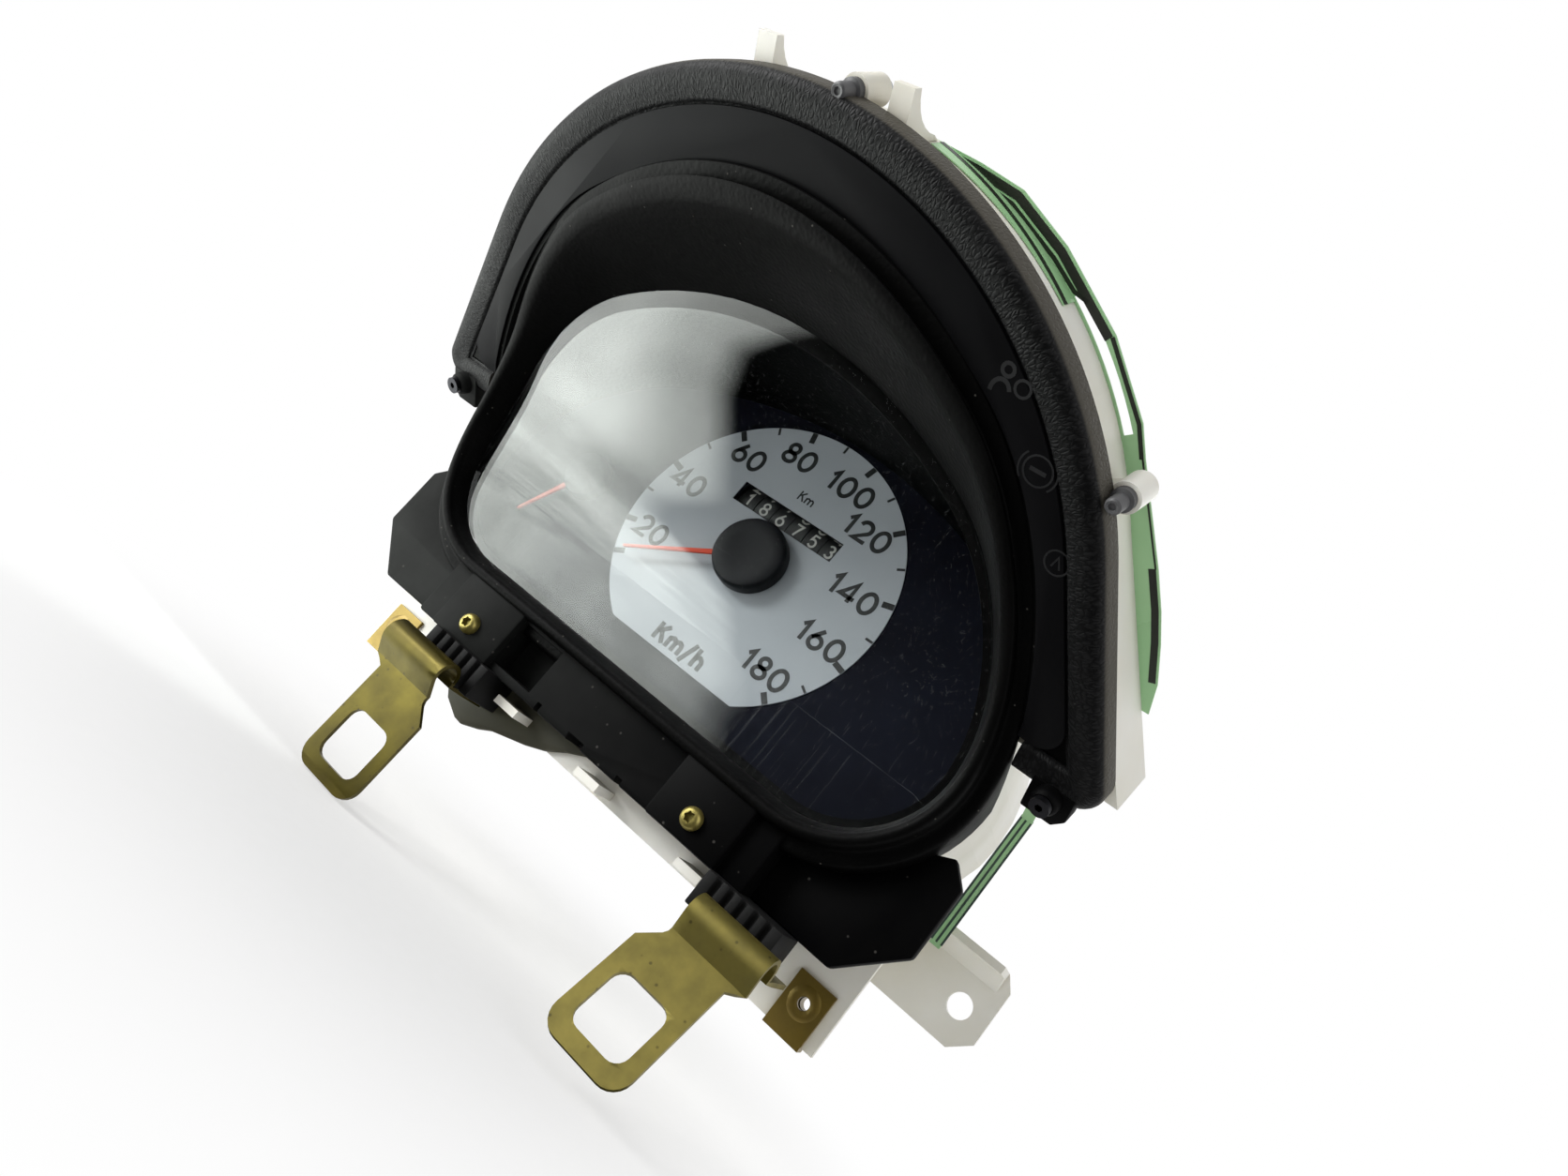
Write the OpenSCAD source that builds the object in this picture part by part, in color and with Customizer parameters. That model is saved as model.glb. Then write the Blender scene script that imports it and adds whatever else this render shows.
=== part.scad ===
// Hooded car speedometer cluster: speedometer with odometer, fuel gauge and telltale arch.
// +Z is up, the dial faces -Y, and the origin is midway between the two foot holes on the feet's back face.
// Shapes are drawn from the spindle axis at the dial face and then placed with on_dial().

/* [Dial] */
// Radius of the pale dial disc
dial_r = 43; // [40:0.5:45]
// Height of the disc's cut-off bottom edge below the spindle
dial_chord = 36.4; // [34:0.2:38]
// Thickness of the printed disc
face_t = 0.4; // [0.3:0.1:0.6]
// Thickness of the dial plate
plate_t = 1.2; // [1:0.1:2]
// Width of the odometer window
window_w = 36.8; // [35:0.2:37.4]
// Height of the odometer window
window_h = 6.4; // [5:0.1:7]
// Height of the odometer window's centre above the spindle
window_z = 14.9; // [14.6:0.1:15.6]

/* [Hood] */
// Half width of the hood's mouth at its widest
hood_half_w = 87.7; // [86:0.1:89]
// Height of the mouth's top above the spindle
hood_top = 43; // [42:0.2:44]
// Height of the mouth's bottom below the spindle
hood_bottom = 50.5; // [50:0.1:51]
// Radius of the mouth's upper sides
hood_side_r = 54; // [52:0.5:56]
// Height of the widest place below the spindle
hood_waist = 18.3; // [17.5:0.1:19]
// Reach of the lower rim in front of the dial
rim_reach = 22; // [21.5:0.1:24]
// Rise of the upper rim as it sweeps forward, in degrees
rim_tilt = 35; // [34:0.5:37]
// Height below the spindle where the rim's two straight stretches would meet
rim_knee = 7.7; // [7:0.1:8.5]
// Run of the bend from that place along each stretch
rim_run = 30; // [28:0.5:32]
// Thickness of the hood's wall inside and outside the mouth line
hood_wall = 3; // [2.5:0.1:3.2]
// Width of the lip outside the mouth line
lip_w = 6; // [5.6:0.1:6.4]
// Step of the lip behind the rim
lip_step = 5; // [4.5:0.1:6]

/* [Lens] */
// Reach of the lens's lower part in front of the dial
lens_reach = 16; // [15:0.2:17]
// Rise of the lens's upper part, in degrees
lens_tilt = 50; // [48:0.5:52]
// Height below the spindle where the lens's two straight stretches would meet
lens_knee = 13.3; // [12.5:0.1:14]
// Run of the bend from that place along each stretch
lens_run = 20; // [18:0.5:22]
// Thickness of the lens
lens_t = 2; // [1.5:0.1:2.5]
// Width of the ledge that carries the lens
ledge_w = 2.5; // [2:0.1:3]
// Depth of that ledge behind the lens
ledge_d = 3; // [2:0.5:4]

/* [Arch] */
// Lean of the arch from the dial plane, in degrees
arch_tilt = 52; // [51:0.5:53]
// Reach of the arch plane in front of the dial, at spindle height
arch_reach = 31.2; // [30.5:0.1:32]
// Width of the arch outside the hood's widest place
arch_margin = 14.3; // [13.5:0.1:16]
// Spread of the arch's feet beyond its outer radius
arch_splay = 14; // [12:0.5:16]
// Depth of the arch's feet below its centre
arch_drop = 12; // [11:0.5:13]
// Width of the rolled outer rim
roll_w = 7.5; // [7:0.1:8]
// Height of the rolled rim above the arch plane
roll_h = 2.5; // [2:0.1:3]
// Depth of the arch's skirt behind the arch plane
skirt_d = 5; // [4.5:0.1:6]
// Thickness of the arch plate
arch_t = 3; // [2.5:0.1:3.5]
// Thickness of the telltale crescent
crescent_t = 1.2; // [1:0.1:1.6]

/* [Lower front] */
// Reach of the chamfered lower plate beyond the hood's widest place
lower_margin = 11.9; // [11:0.1:13]
// Depth of the lower plate's bottom edge below the spindle
lower_drop = 69; // [68:0.5:70]
// Reach of the lower plate's face in front of the dial
lower_reach = 10; // [9.5:0.1:11]
// Half width of the screw strip
strip_half_w = 62; // [60:0.5:64]
// Depth of the strip's bottom edge below the spindle
strip_drop = 72; // [71:0.5:73]
// Reach of the strip's face in front of the dial
strip_reach = 18; // [17:0.2:19]
// Height of the two screw pads above the strip's face
pad_h = 2.5; // [2:0.1:3]
// Distance from the middle to each strip screw
screw_x = 42.6; // [41:0.2:44]
// Depth of the strip screws below the spindle
screw_drop = 63.4; // [62.5:0.1:64]
// Radius of the screws' shanks
screw_r = 1.75; // [1.5:0.05:2]

/* [Rear case] */
// Thickness of the case walls
case_wall = 2; // [1.8:0.1:2.4]
// Room behind the magnet for the worm, the frame's back and the case wall
back_room = 18; // [17:0.5:22]
// Depth of the arch tray behind the arch plane
tray_d = 20; // [18:0.5:22]
// Distance from the hood's widest place out to each foot hole
foot_margin = 20.9; // [19:0.1:22]
// Depth of the foot holes below the spindle
foot_drop = 57.6; // [56:0.2:59]
// Radius of the foot holes
foot_hole_r = 3.5; // [3:0.1:4]
// Thickness of the feet
foot_t = 3; // [2.5:0.1:4]
// Distance from the hood's widest place in to each clip nut
nut_margin = 4.3; // [3.5:0.1:5.5]
// Depth of the clip nuts below the spindle
nut_drop = 80; // [79:0.2:81]
// Radius of the clip nuts' threaded holes
nut_hole_r = 1.6; // [1.4:0.05:1.8]

/* [Speed movement] */
// Radius of the pointer's cap
cap_r = 10.9; // [10:0.1:12]
// Radius of the pointer's tip circle
pointer_r = 38.5; // [36:0.5:40]
// Rest angle of the pointer, from straight up
pointer_angle = -120; // [-135:1:-100]
// Radius of the pointer spindle
spindle_r = 0.8; // [0.7:0.05:0.9]
// Radius of the drag cup
cup_r = 15; // [14.5:0.1:15.4]
// Radius of the magnet
magnet_r = 13; // [12:0.1:13.4]
// Radius of the drive spindle
drive_r = 3; // [2.5:0.1:3.2]
// Radius of the odometer drums
drum_r = 8; // [7.5:0.1:8.2]
// Number of odometer drums
drum_n = 6; // [6:1:6]
// Radius of the cable inlet's bore
inlet_r = 6.5; // [6:0.1:7]
// Length of the cable inlet's bore
inlet_l = 16; // [14:0.5:18]

/* [Fuel gauge] */
// Distance from the hood's widest place in to the fuel spindle
fuel_margin = 27.7; // [27:0.1:29]
// Depth of the fuel spindle below the speed spindle
fuel_drop = 8.5; // [8:0.1:9.5]
// Radius of the fuel pointer's cap
fuel_cap_r = 7.5; // [7:0.1:8]
// Length of the fuel pointer
fuel_len = 23.5; // [22:0.5:24.5]
// Rest angle of the fuel pointer, from straight up
fuel_angle = -153; // [-160:1:-145]

/* [Brackets] */
// Distance from the middle to the right bracket's centre
right_bracket_x = 65.7; // [65:0.1:66.5]
// Distance from the middle to the left bracket's centre
left_bracket_x = 38; // [37:0.1:39]
// Width of the bracket
bracket_w = 22.5; // [21:0.5:23]
// Thickness of the bracket's steel
bracket_t = 1.2; // [1:0.1:1.5]
// Length of the hanging loop
loop_l = 38.6; // [38:0.2:42]
// Forward lean of the right loop, in degrees
right_lean = 30; // [26:1:34]
// Forward lean of the left loop, in degrees
left_lean = 3; // [0:1:8]
// Side of the square hole
loop_hole = 15; // [14:0.5:16]

/* [Hidden] */
$fn = 64;

black = "#1c1c1e";
ivory = "#e3dcc4";
zinc = "#b6a468";
orange = "#e2502c";
steel = "#9a9da2";

run_gap = 0.05;
seat_gap = 0.3;
reach_far = 160;
skin = 2;

arch_r = hood_half_w + arch_margin;
arch_half_w = arch_r + arch_splay;
lower_half_w = hood_half_w + lower_margin;
foot_x = hood_half_w + foot_margin;
nut_x = hood_half_w - nut_margin;
fuel_x = hood_half_w - fuel_margin;
hood_corner_r = hood_bottom - hood_waist;
waist_to_top = hood_top + hood_waist;
side_x = hood_half_w - hood_side_r;
top_r = (side_x * side_x + waist_to_top * waist_to_top - hood_side_r * hood_side_r)
  / (2 * (waist_to_top - hood_side_r));
side_turn = atan2(top_r - waist_to_top, side_x);
arch_foot_d = norm([arch_half_w, arch_drop - 1]);
arch_turn = acos(arch_r / arch_foot_d) - atan2(arch_drop - 1, arch_half_w);
mouth_gap = hood_wall + seat_gap;
case_in = skin + seat_gap;
case_out = case_in + case_wall;

// Places in the speed movement, behind the dial face
drum_y = plate_t + 1.3 + drum_r;
cup_y = drum_y + drum_r + 3.5;
cup_skirt = 6.5;
cup_wall = 0.6;
magnet_t = 4;
magnet_y = cup_y + 2;
case_depth = magnet_y + magnet_t + back_room;
back_y = case_depth - case_wall;
worm_r = drive_r + 1.2;
wheel_r = 4.5;
wheel_gap = 0.3;
frame_t = 2;
frame_back_t = 4;
frame_back_y = back_y - frame_back_t;
cross_y = frame_back_y - 6;
cross_z = worm_r + wheel_r + wheel_gap;
cheek_x = window_w / 2 + 3.6;
frame_top = window_z + drum_r + 3;
frame_low = 24;
axle_r = 1;
gear_t = 2;
gear_x = cheek_x - 1 - gear_t;
drum_gear_r = drum_r + 1;
pinion_r = 4;
train = norm([cross_y - drum_y, window_z - cross_z]);
idler_r = (train - pinion_r - drum_gear_r) / 2 - wheel_gap;
idler_k = (pinion_r + wheel_gap + idler_r) / train;
idler_y = cross_y + (drum_y - cross_y) * idler_k;
idler_z = cross_z + (window_z - cross_z) * idler_k;
drum_pitch = window_w / drum_n;
drum_gap = 0.3;
tooth_h = 0.8;

// Outlines, as points in the plane of width and height
function arc(cx, cz, r, from, to, steps, first = 0) =
  [for (i = [first:steps]) let (a = from + (to - from) * i / steps) [cx + r * cos(a), cz + r * sin(a)]];
function flipped(points) = [for (i = [len(points) - 1:-1:0]) [-points[i][0], points[i][1]]];
function hood_half(grow) = concat(
  arc(hood_half_w - hood_corner_r, -hood_waist, hood_corner_r + grow, -90, 0, 8),
  arc(side_x, -hood_waist, hood_side_r + grow, 0, side_turn, 8, 1),
  arc(0, hood_top - top_r, top_r + grow, side_turn, 88, 5, 1));
function hood_outline(grow) = concat(hood_half(grow), flipped(hood_half(grow)));
function arch_foot(grow) = arch_half_w + grow / cos(arch_turn);
function arch_leg(grow, lift) = [arch_foot(grow) - lift * tan(arch_turn), lift - arch_drop];
function arch_outline(grow, lift = 0) = concat([arch_leg(grow, lift)],
  arc(0, -1, arch_r + grow, arch_turn, 180 - arch_turn, 36), flipped([arch_leg(grow, lift)]));
// Side view of a surface that stands upright and then sweeps forward, as points in depth and height
function swept(reach, knee, rise, run) = let (turn = 90 - rise, r = run / tan(turn / 2)) concat(
  [[-reach, -reach_far]], arc(-reach - r, -knee - run, r, 0, turn, 10),
  [[-reach - (run + reach_far) * cos(rise), -knee + (run + reach_far) * sin(rise)]]);

function on_arch_arc(r, turn) = [r * sin(turn), r * cos(turn) - 1];

// Placing
module on_dial() { translate([0, -case_depth, foot_drop]) children(); }
module on_arch() { translate([0, -arch_reach, 0]) rotate([arch_tilt, 0, 0]) children(); }
module both_sides() { children(); mirror([1, 0, 0]) children(); }
module depth(from, to) { translate([0, to, 0]) rotate([90, 0, 0]) linear_extrude(to - from) children(); }
module rod_y(r, from, to) { translate([0, to, 0]) rotate([90, 0, 0]) cylinder(r = r, h = to - from); }
module rod_x(r, from, to) { translate([from, 0, 0]) rotate([0, 90, 0]) cylinder(r = r, h = to - from); }
module block(low, high) { translate(low) cube(high - low); }
module hood_bar(grow, from, to) { depth(from, to) polygon(hood_outline(grow)); }
module behind(points) {
  translate([-reach_far, 0, 0]) rotate([90, 0, 90]) linear_extrude(2 * reach_far)
    polygon(concat(points, [[reach_far, points[len(points) - 1][1]], [reach_far, -reach_far]]));
}
module behind_rim(step) { translate([0, step, 0]) behind(swept(rim_reach, rim_knee, rim_tilt, rim_run)); }
module behind_lens(step) { translate([0, step, 0]) behind(swept(lens_reach, lens_knee, lens_tilt, lens_run)); }
module arch_plate(grow, from, to, lift = 0) { on_arch() depth(from, to) polygon(arch_outline(grow, lift)); }
module behind_arch(from) { on_arch() block([-reach_far, from, -reach_far], [reach_far, reach_far, reach_far]); }
module toothed(r, teeth) {
  union() {
    circle(r = r - tooth_h);
    for (i = [0:teeth - 1]) rotate(i * 360 / teeth) translate([r - tooth_h - 0.4, -r * 0.7 / teeth])
      square([tooth_h + 0.2, 2 * r * 0.7 / teeth]);
  }
}

// Front moulding
lower_t = 4;
lower_back = lower_reach - lower_t;
lower_chamfer = 13.5;
shoulder = 5;
shoulder_drop = 32;
boss_x = arch_half_w - 12;
boss_r = 5;
boss_h = 5.5;
post_r = 2.6;
post_screw_r = 1.1;
post_sink = 0.6;
post_places = [[7.4, arch_r - 1], on_arch_arc(arch_r + post_r - post_sink, 59)];
pad_half_w = 11.5;
pad_low = strip_drop;
pocket_wall = 4;
notch_w = 18;
notch_h = 9;
function lower_half() = [[lower_half_w - lower_chamfer, -lower_drop], [lower_half_w, -lower_drop + lower_chamfer],
  [lower_half_w, -shoulder_drop - shoulder], [lower_half_w - shoulder, -shoulder_drop]];
module hood_space() {
  difference() {
    hood_bar(-hood_wall, -reach_far, 1);
    behind_lens(lens_t);
  }
  hood_bar(-hood_wall - ledge_w, -reach_far, 1);
}
module hood_walls() {
  difference() {
    intersection() {
      hood_bar(skin, -reach_far, 0);
      behind_rim(0);
    }
    behind_lens(lens_t + ledge_d);
  }
  difference() {
    intersection() {
      hood_bar(lip_w, -reach_far, -lower_back);
      behind_rim(lip_step);
    }
    behind_arch(arch_t);
  }
}
module arch_rim() {
  difference() {
    arch_plate(0, -roll_h, skirt_d);
    arch_plate(-roll_w, -roll_h - 1, skirt_d + 1);
  }
}
module corner_boss() {
  on_arch() translate([boss_x, 0, -arch_drop - 2]) rod_y(boss_r, -boss_h, arch_t);
}
module arch_posts() {
  for (p = post_places) on_arch() translate([p[0], 0, p[1]]) rod_y(post_r, -1, skirt_d);
}
module screw_strip() {
  block([-strip_half_w, -strip_reach, -strip_drop], [strip_half_w, -lower_back, -hood_bottom]);
  both_sides() block([screw_x - pad_half_w, -strip_reach - pad_h, -pad_low],
    [screw_x + pad_half_w, -lower_back, -hood_bottom - 1]);
}
module strip_space() {
  block([-strip_half_w + pocket_wall, -strip_reach + pocket_wall, -strip_drop + pocket_wall],
    [strip_half_w - pocket_wall, 0, -hood_bottom - lip_w - 1]);
  translate([-screw_x + pad_half_w, 0, -hood_bottom - lip_w - 1])
    block([0, -strip_reach - 1, -notch_h], [notch_w, -lower_back - 1, 0]);
  both_sides() translate([screw_x, 0, -screw_drop]) rod_y(screw_r + run_gap, -reach_far, 0);
}
module front_bezel() {
  color(black) on_dial() difference() {
    union() {
      difference() {
        union() {
          arch_plate(0, 0, arch_t);
          arch_rim();
          both_sides() corner_boss();
          arch_posts();
          depth(-lower_reach, -lower_back) polygon(concat(lower_half(), flipped(lower_half())));
        }
        hood_bar(0, -reach_far, reach_far);
      }
      hood_walls();
      screw_strip();
    }
    hood_space();
    strip_space();
    both_sides() on_arch() translate([boss_x, 0, -arch_drop - 2])
      rod_y(corner_screw_r + run_gap, -boss_h - 1, arch_t + 1);
    for (p = post_places) on_arch() translate([p[0], 0, p[1]]) rod_y(post_screw_r + run_gap, 1, skirt_d + 1);
  }
}
module telltale_crescent() {
  color("#222224") on_dial() difference() {
    arch_plate(-roll_w - groove_w, -crescent_t, 0);
    hood_bar(lip_w + seat_gap, -reach_far, reach_far);
    on_arch() block([-reach_far, -reach_far, -reach_far], [reach_far, reach_far, crescent_end]);
  }
}
groove_w = 0.8;
crescent_end = -4;
module lens() {
  color("#c8d4d8", 0.35) on_dial() intersection() {
    hood_bar(-mouth_gap, -reach_far, 0);
    difference() {
      behind_lens(0);
      behind_lens(lens_t);
    }
  }
}

// Dial
module window_cut() {
  block([-window_w / 2, -reach_far, window_z - window_h / 2], [window_w / 2, reach_far, window_z + window_h / 2]);
}
module at_fuel() { translate([-fuel_x, 0, -fuel_drop]) children(); }
spindle_clear = 1;
module dial_plate() {
  color("#22263a") on_dial() difference() {
    hood_bar(skin, 0, plate_t);
    window_cut();
    rod_y(spindle_r + spindle_clear, -1, plate_t + 1);
    at_fuel() rod_y(spindle_r + spindle_clear, -1, plate_t + 1);
  }
}
module dial_face() {
  color("#dfe2e2") on_dial() difference() {
    rod_y(dial_r, -face_t, 0);
    block([-dial_r, -1, -dial_r - 1], [dial_r, 1, -dial_chord]);
    window_cut();
    rod_y(spindle_r + spindle_clear, -1, 1);
  }
}

// Speed movement
cap_gap = 1.1;
cap_h = 4.5;
needle_w = 1.2;
needle_t = 1;
cap_back = -face_t - cap_gap;
module needle(rest, from, to) {
  rotate([0, rest, 0]) block([-needle_w / 2, cap_back - 2 - needle_t, from], [needle_w / 2, cap_back - 2, to]);
}
module speed_pointer() {
  color(orange) on_dial() needle(pointer_angle, cap_r, pointer_r);
}
module pointer_cap() {
  color("#26262a") on_dial() difference() {
    rod_y(cap_r, cap_back - cap_h, cap_back);
    rod_y(spindle_r, cap_back - cap_h + 1, cap_back + 1);
  }
}
module pointer_spindle() {
  color(steel) on_dial() rod_y(spindle_r, cap_back - cap_h + 1, cup_y + cup_wall);
}
module drag_cup() {
  color("#c4c6c8") on_dial() difference() {
    union() {
      rod_y(cup_r, cup_y, cup_y + cup_skirt);
      rod_y(2.5 * spindle_r, cup_y - 2, cup_y);
    }
    rod_y(cup_r - cup_wall, cup_y + cup_wall, cup_y + cup_skirt + 1);
    rod_y(spindle_r, cup_y - 3, cup_y + 1);
  }
}
spring_in = 1.6;
spring_out = 6;
spring_turns = 3;
spring_t = 0.25;
spring_y = plate_t + 2;
spring_h = 0.8;
bridge_y = 5.5;
function spiral(shift) = [for (i = [0:24 * spring_turns]) let (a = 15 * i, r = spring_in + shift
  + (spring_out - spring_in) * i / (24 * spring_turns)) [r * cos(a), r * sin(a)]];
function backwards(points) = [for (i = [len(points) - 1:-1:0]) points[i]];
module hairspring() {
  color("#8a7a4a") on_dial() {
    depth(spring_y, spring_y + spring_h) polygon(concat(spiral(0), backwards(spiral(spring_t))));
    difference() {
      rod_y(spring_in + spring_t / 2, spring_y, spring_y + spring_h);
      rod_y(spindle_r + run_gap, spring_y - 1, spring_y + spring_h + 1);
    }
    block([spring_out - 0.1, spring_y, -0.6], [spring_out + 1, bridge_y, 0.6]);
  }
}
module magnet() {
  color("#3a3b3e") on_dial() difference() {
    rod_y(magnet_r, magnet_y, magnet_y + magnet_t);
    rod_y(drive_r / 2, magnet_y - 1, magnet_y + magnet_t + 1);
  }
}
worm_half = 3.5;
module drive_spindle() {
  color(steel) on_dial() {
    rod_y(drive_r / 2, magnet_y, magnet_y + magnet_t + 1);
    rod_y(drive_r, magnet_y + magnet_t, case_depth + 1.5);
    rod_y(worm_r - tooth_h, cross_y - worm_half, cross_y + worm_half);
    for (i = [-3:3]) translate([0, cross_y + i, 0]) rod_y(worm_r, -0.25, 0.25);
  }
}
module at_cross() { translate([0, cross_y, cross_z]) children(); }
module at_drums() { translate([0, drum_y, window_z]) children(); }
module at_idler() { translate([0, idler_y, idler_z]) children(); }
module speedo_frame() {
  color("#8f9296") on_dial() {
    difference() {
      union() {
        both_sides() block([cheek_x, plate_t, -frame_low], [cheek_x + frame_t, frame_back_y + 1, frame_top]);
        block([-cheek_x - 1, bridge_y, -frame_low], [cheek_x + 1, bridge_y + frame_t, 4]);
        block([-cheek_x - frame_t, frame_back_y, -frame_low], [cheek_x + frame_t, back_y, frame_top]);
      }
      rod_y(spindle_r + run_gap, 0, bridge_y + frame_t + 1);
      rod_y(drive_r + run_gap, frame_back_y - 1, back_y + 1);
      at_cross() rod_x(axle_r + run_gap, -reach_far, reach_far);
      at_drums() rod_x(axle_r + run_gap, -reach_far, reach_far);
    }
    at_idler() rod_x(axle_r, gear_x - 0.5, cheek_x + 0.5);
  }
}
module gear(r, teeth, from, to) { translate([from, 0, 0]) rotate([90, 0, 90]) linear_extrude(to - from) toothed(r, teeth); }
module cross_shaft() {
  color("#b89a52") on_dial() at_cross() {
    rod_x(axle_r, -cheek_x - frame_t, cheek_x + frame_t);
    gear(wheel_r, 16, -3, 3);
    gear(pinion_r, 12, gear_x, gear_x + gear_t);
  }
}
module idler_gear() {
  color("#e4e0d4") on_dial() at_idler() difference() {
    gear(idler_r, 16, gear_x, gear_x + gear_t);
    rod_x(axle_r + run_gap, gear_x - 1, gear_x + gear_t + 1);
  }
}
module drum_axle() {
  color(steel) on_dial() at_drums() rod_x(axle_r, -cheek_x - frame_t, cheek_x + frame_t);
}
module drum(index) {
  left = -window_w / 2 + (index - 1) * drum_pitch + drum_gap / 2;
  right = left + drum_pitch - drum_gap;
  color("#1e1e20") on_dial() at_drums() difference() {
    union() {
      rod_x(drum_r, left, right);
      if (index == drum_n) {
        rod_x(3 * axle_r, right - 1, gear_x + 1);
        gear(drum_gear_r, 27, gear_x, gear_x + gear_t);
      }
    }
    rod_x(axle_r + run_gap, -reach_far, reach_far);
  }
}
module odometer_drum_1() { drum(1); }
module odometer_drum_2() { drum(2); }
module odometer_drum_3() { drum(3); }
module odometer_drum_4() { drum(4); }
module odometer_drum_5() { drum(5); }
module odometer_drum_6() { drum(6); }
inlet_wall = 2.5;
inlet_base = 2;
module cable_inlet() {
  color("#d8d2bc") on_dial() difference() {
    union() {
      rod_y(2 * inlet_r + 1, case_depth, case_depth + inlet_base);
      rod_y(inlet_r + inlet_wall, case_depth, case_depth + inlet_base + inlet_l);
    }
    rod_y(inlet_r, case_depth + inlet_base, case_depth + inlet_base + inlet_l + 1);
    rod_y(drive_r + run_gap, case_depth - 1, case_depth + inlet_base + 1);
  }
}

// Fuel gauge
can_r = 14;
can_d = 24;
fuel_shaft_d = 12;
module fuel_movement() {
  color("#c9c6bb") on_dial() at_fuel() difference() {
    rod_y(can_r, plate_t, plate_t + can_d);
    rod_y(spindle_r + run_gap, 0, plate_t + fuel_shaft_d + seat_gap);
  }
}
module fuel_spindle() {
  color(steel) on_dial() at_fuel() rod_y(spindle_r, cap_back - cap_h + 2, plate_t + fuel_shaft_d);
}
module fuel_cap() {
  color("#26262a") on_dial() at_fuel() difference() {
    rod_y(fuel_cap_r, cap_back - cap_h + 1, cap_back);
    rod_y(spindle_r, cap_back - cap_h + 2, cap_back + 1);
  }
}
module fuel_pointer() {
  color(orange) on_dial() at_fuel() needle(fuel_angle, fuel_cap_r, fuel_len);
}

// Rear case
tray_inset = 4;
tray_splay = 0.5;
tray_r = arch_r - tray_inset;
tray_half_w = arch_half_w + tray_splay;
tray_turn = acos(tray_r / norm([tray_half_w, arch_drop - 1])) - atan2(arch_drop - 1, tray_half_w);
function tray_leg(grow, lift) = [tray_half_w + grow / cos(tray_turn) - lift * tan(tray_turn), lift - arch_drop];
function tray_outline(grow, lift = 0) = concat([tray_leg(grow, lift)],
  arc(0, -1, tray_r + grow, tray_turn, 180 - tray_turn, 36), flipped([tray_leg(grow, lift)]));
belly_half_w = 60;
belly_low = 76;
belly_back = 36;
belly_front = -lower_back + seat_gap;
foot_out = 8.4;
foot_low = 10.4;
foot_high = 14.6;
gusset_front = 20;
ear_y = 8;
ear_in = 17.4;
ear_out = 8.6;
ear_low = 8;
ear_top = 48;
ear_hole_r = 3.2;
hook_x = 17.7;
hook_w = 5;
hook_h = 8;
hook_l = 11;
tab_places = [-20, 12, 48];
tab_w = 8;
ring_r = 3.3;
ring_back = 13;
bulb_places = [on_arch_arc(arch_r - 21, 0), on_arch_arc(arch_r - 20, 32), on_arch_arc(arch_r - 20, -32),
  on_arch_arc(arch_r - 15, 60), on_arch_arc(arch_r - 15, -60)];
bulb_r = 3.5;
bulb_hole_r = 5;
module case_sleeve() {
  intersection() {
    difference() {
      hood_bar(case_out, -reach_far, case_depth);
      hood_bar(case_in, -reach_far - 1, back_y);
    }
    union() {
      behind_arch(arch_t + seat_gap);
      block([-reach_far, belly_front, -reach_far], [reach_far, reach_far, reach_far]);
    }
  }
  difference() {
    hood_bar(case_in + 1, plate_t, plate_t + case_wall);
    hood_bar(-2 * case_wall, plate_t - 1, plate_t + case_wall + 1);
  }
}
module case_tray() {
  difference() {
    on_arch() depth(skirt_d, tray_d) polygon(tray_outline(0));
    on_arch() depth(skirt_d - 1, tray_d - case_wall) polygon(tray_outline(-case_wall, case_wall));
    hood_bar(case_in, -reach_far, reach_far);
    for (p = bulb_places) on_arch() translate([p[0], 0, p[1]]) rod_y(bulb_hole_r, 0, tray_d + 1);
  }
  for (p = post_places) {
    on_arch() translate([p[0], 0, p[1]]) rod_y(ring_r, skirt_d, ring_back);
    on_arch() rotate([0, atan2(p[0], p[1]), 0])
      block([-case_wall, skirt_d + 1, arch_r - tray_inset - 2 * case_wall],
        [case_wall, ring_back - 1, norm(p) - post_screw_r - 1.5]);
  }
}
module case_belly() {
  difference() {
    block([-belly_half_w, belly_front, -belly_low], [belly_half_w, belly_back, -hood_bottom - case_in]);
    block([-belly_half_w + case_wall, belly_front + case_wall, -belly_low + case_wall],
      [belly_half_w - case_wall, belly_back - case_wall, 0]);
  }
  for (x = tab_places) block([x - tab_w / 2, -strip_reach + 2, -belly_low + 1.5],
    [x + tab_w / 2, belly_front + 1, -strip_drop - seat_gap]);
}
function foot_half() = [[belly_half_w, -foot_drop - foot_low], [foot_x + 3, -foot_drop - foot_low],
  [foot_x + foot_out, -foot_drop - foot_low + 5], [foot_x + foot_out, -foot_drop + foot_high - 4],
  [foot_x + foot_out - 3, -foot_drop + foot_high], [belly_half_w, -foot_drop + foot_high]];
module case_foot() {
  depth(case_depth - foot_t, case_depth) polygon(foot_half());
  block([hood_half_w - 8, gusset_front, -foot_drop + foot_high - case_wall],
    [foot_x + foot_out - 3, case_depth, -foot_drop + foot_high]);
}
module case_ear() {
  block([nut_x - ear_in, ear_y, -nut_drop - ear_low], [nut_x + ear_out, ear_y + case_wall, -ear_top]);
}
module case_hook() {
  on_arch() translate([hook_x - hook_w / 2, 0, 0]) rotate([90, 0, 90]) linear_extrude(hook_w)
    polygon(concat([[skirt_d + 1, arch_r - tray_inset - 3], [skirt_d + 1, arch_r - tray_inset - 1 + hook_h]],
      arc(skirt_d + 3 + hook_l, arch_r - tray_inset - 1 + hook_h + 2, hook_l, 190, 262, 6),
      [[skirt_d + 3 + hook_l, arch_r - tray_inset - 3]]));
}
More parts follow.
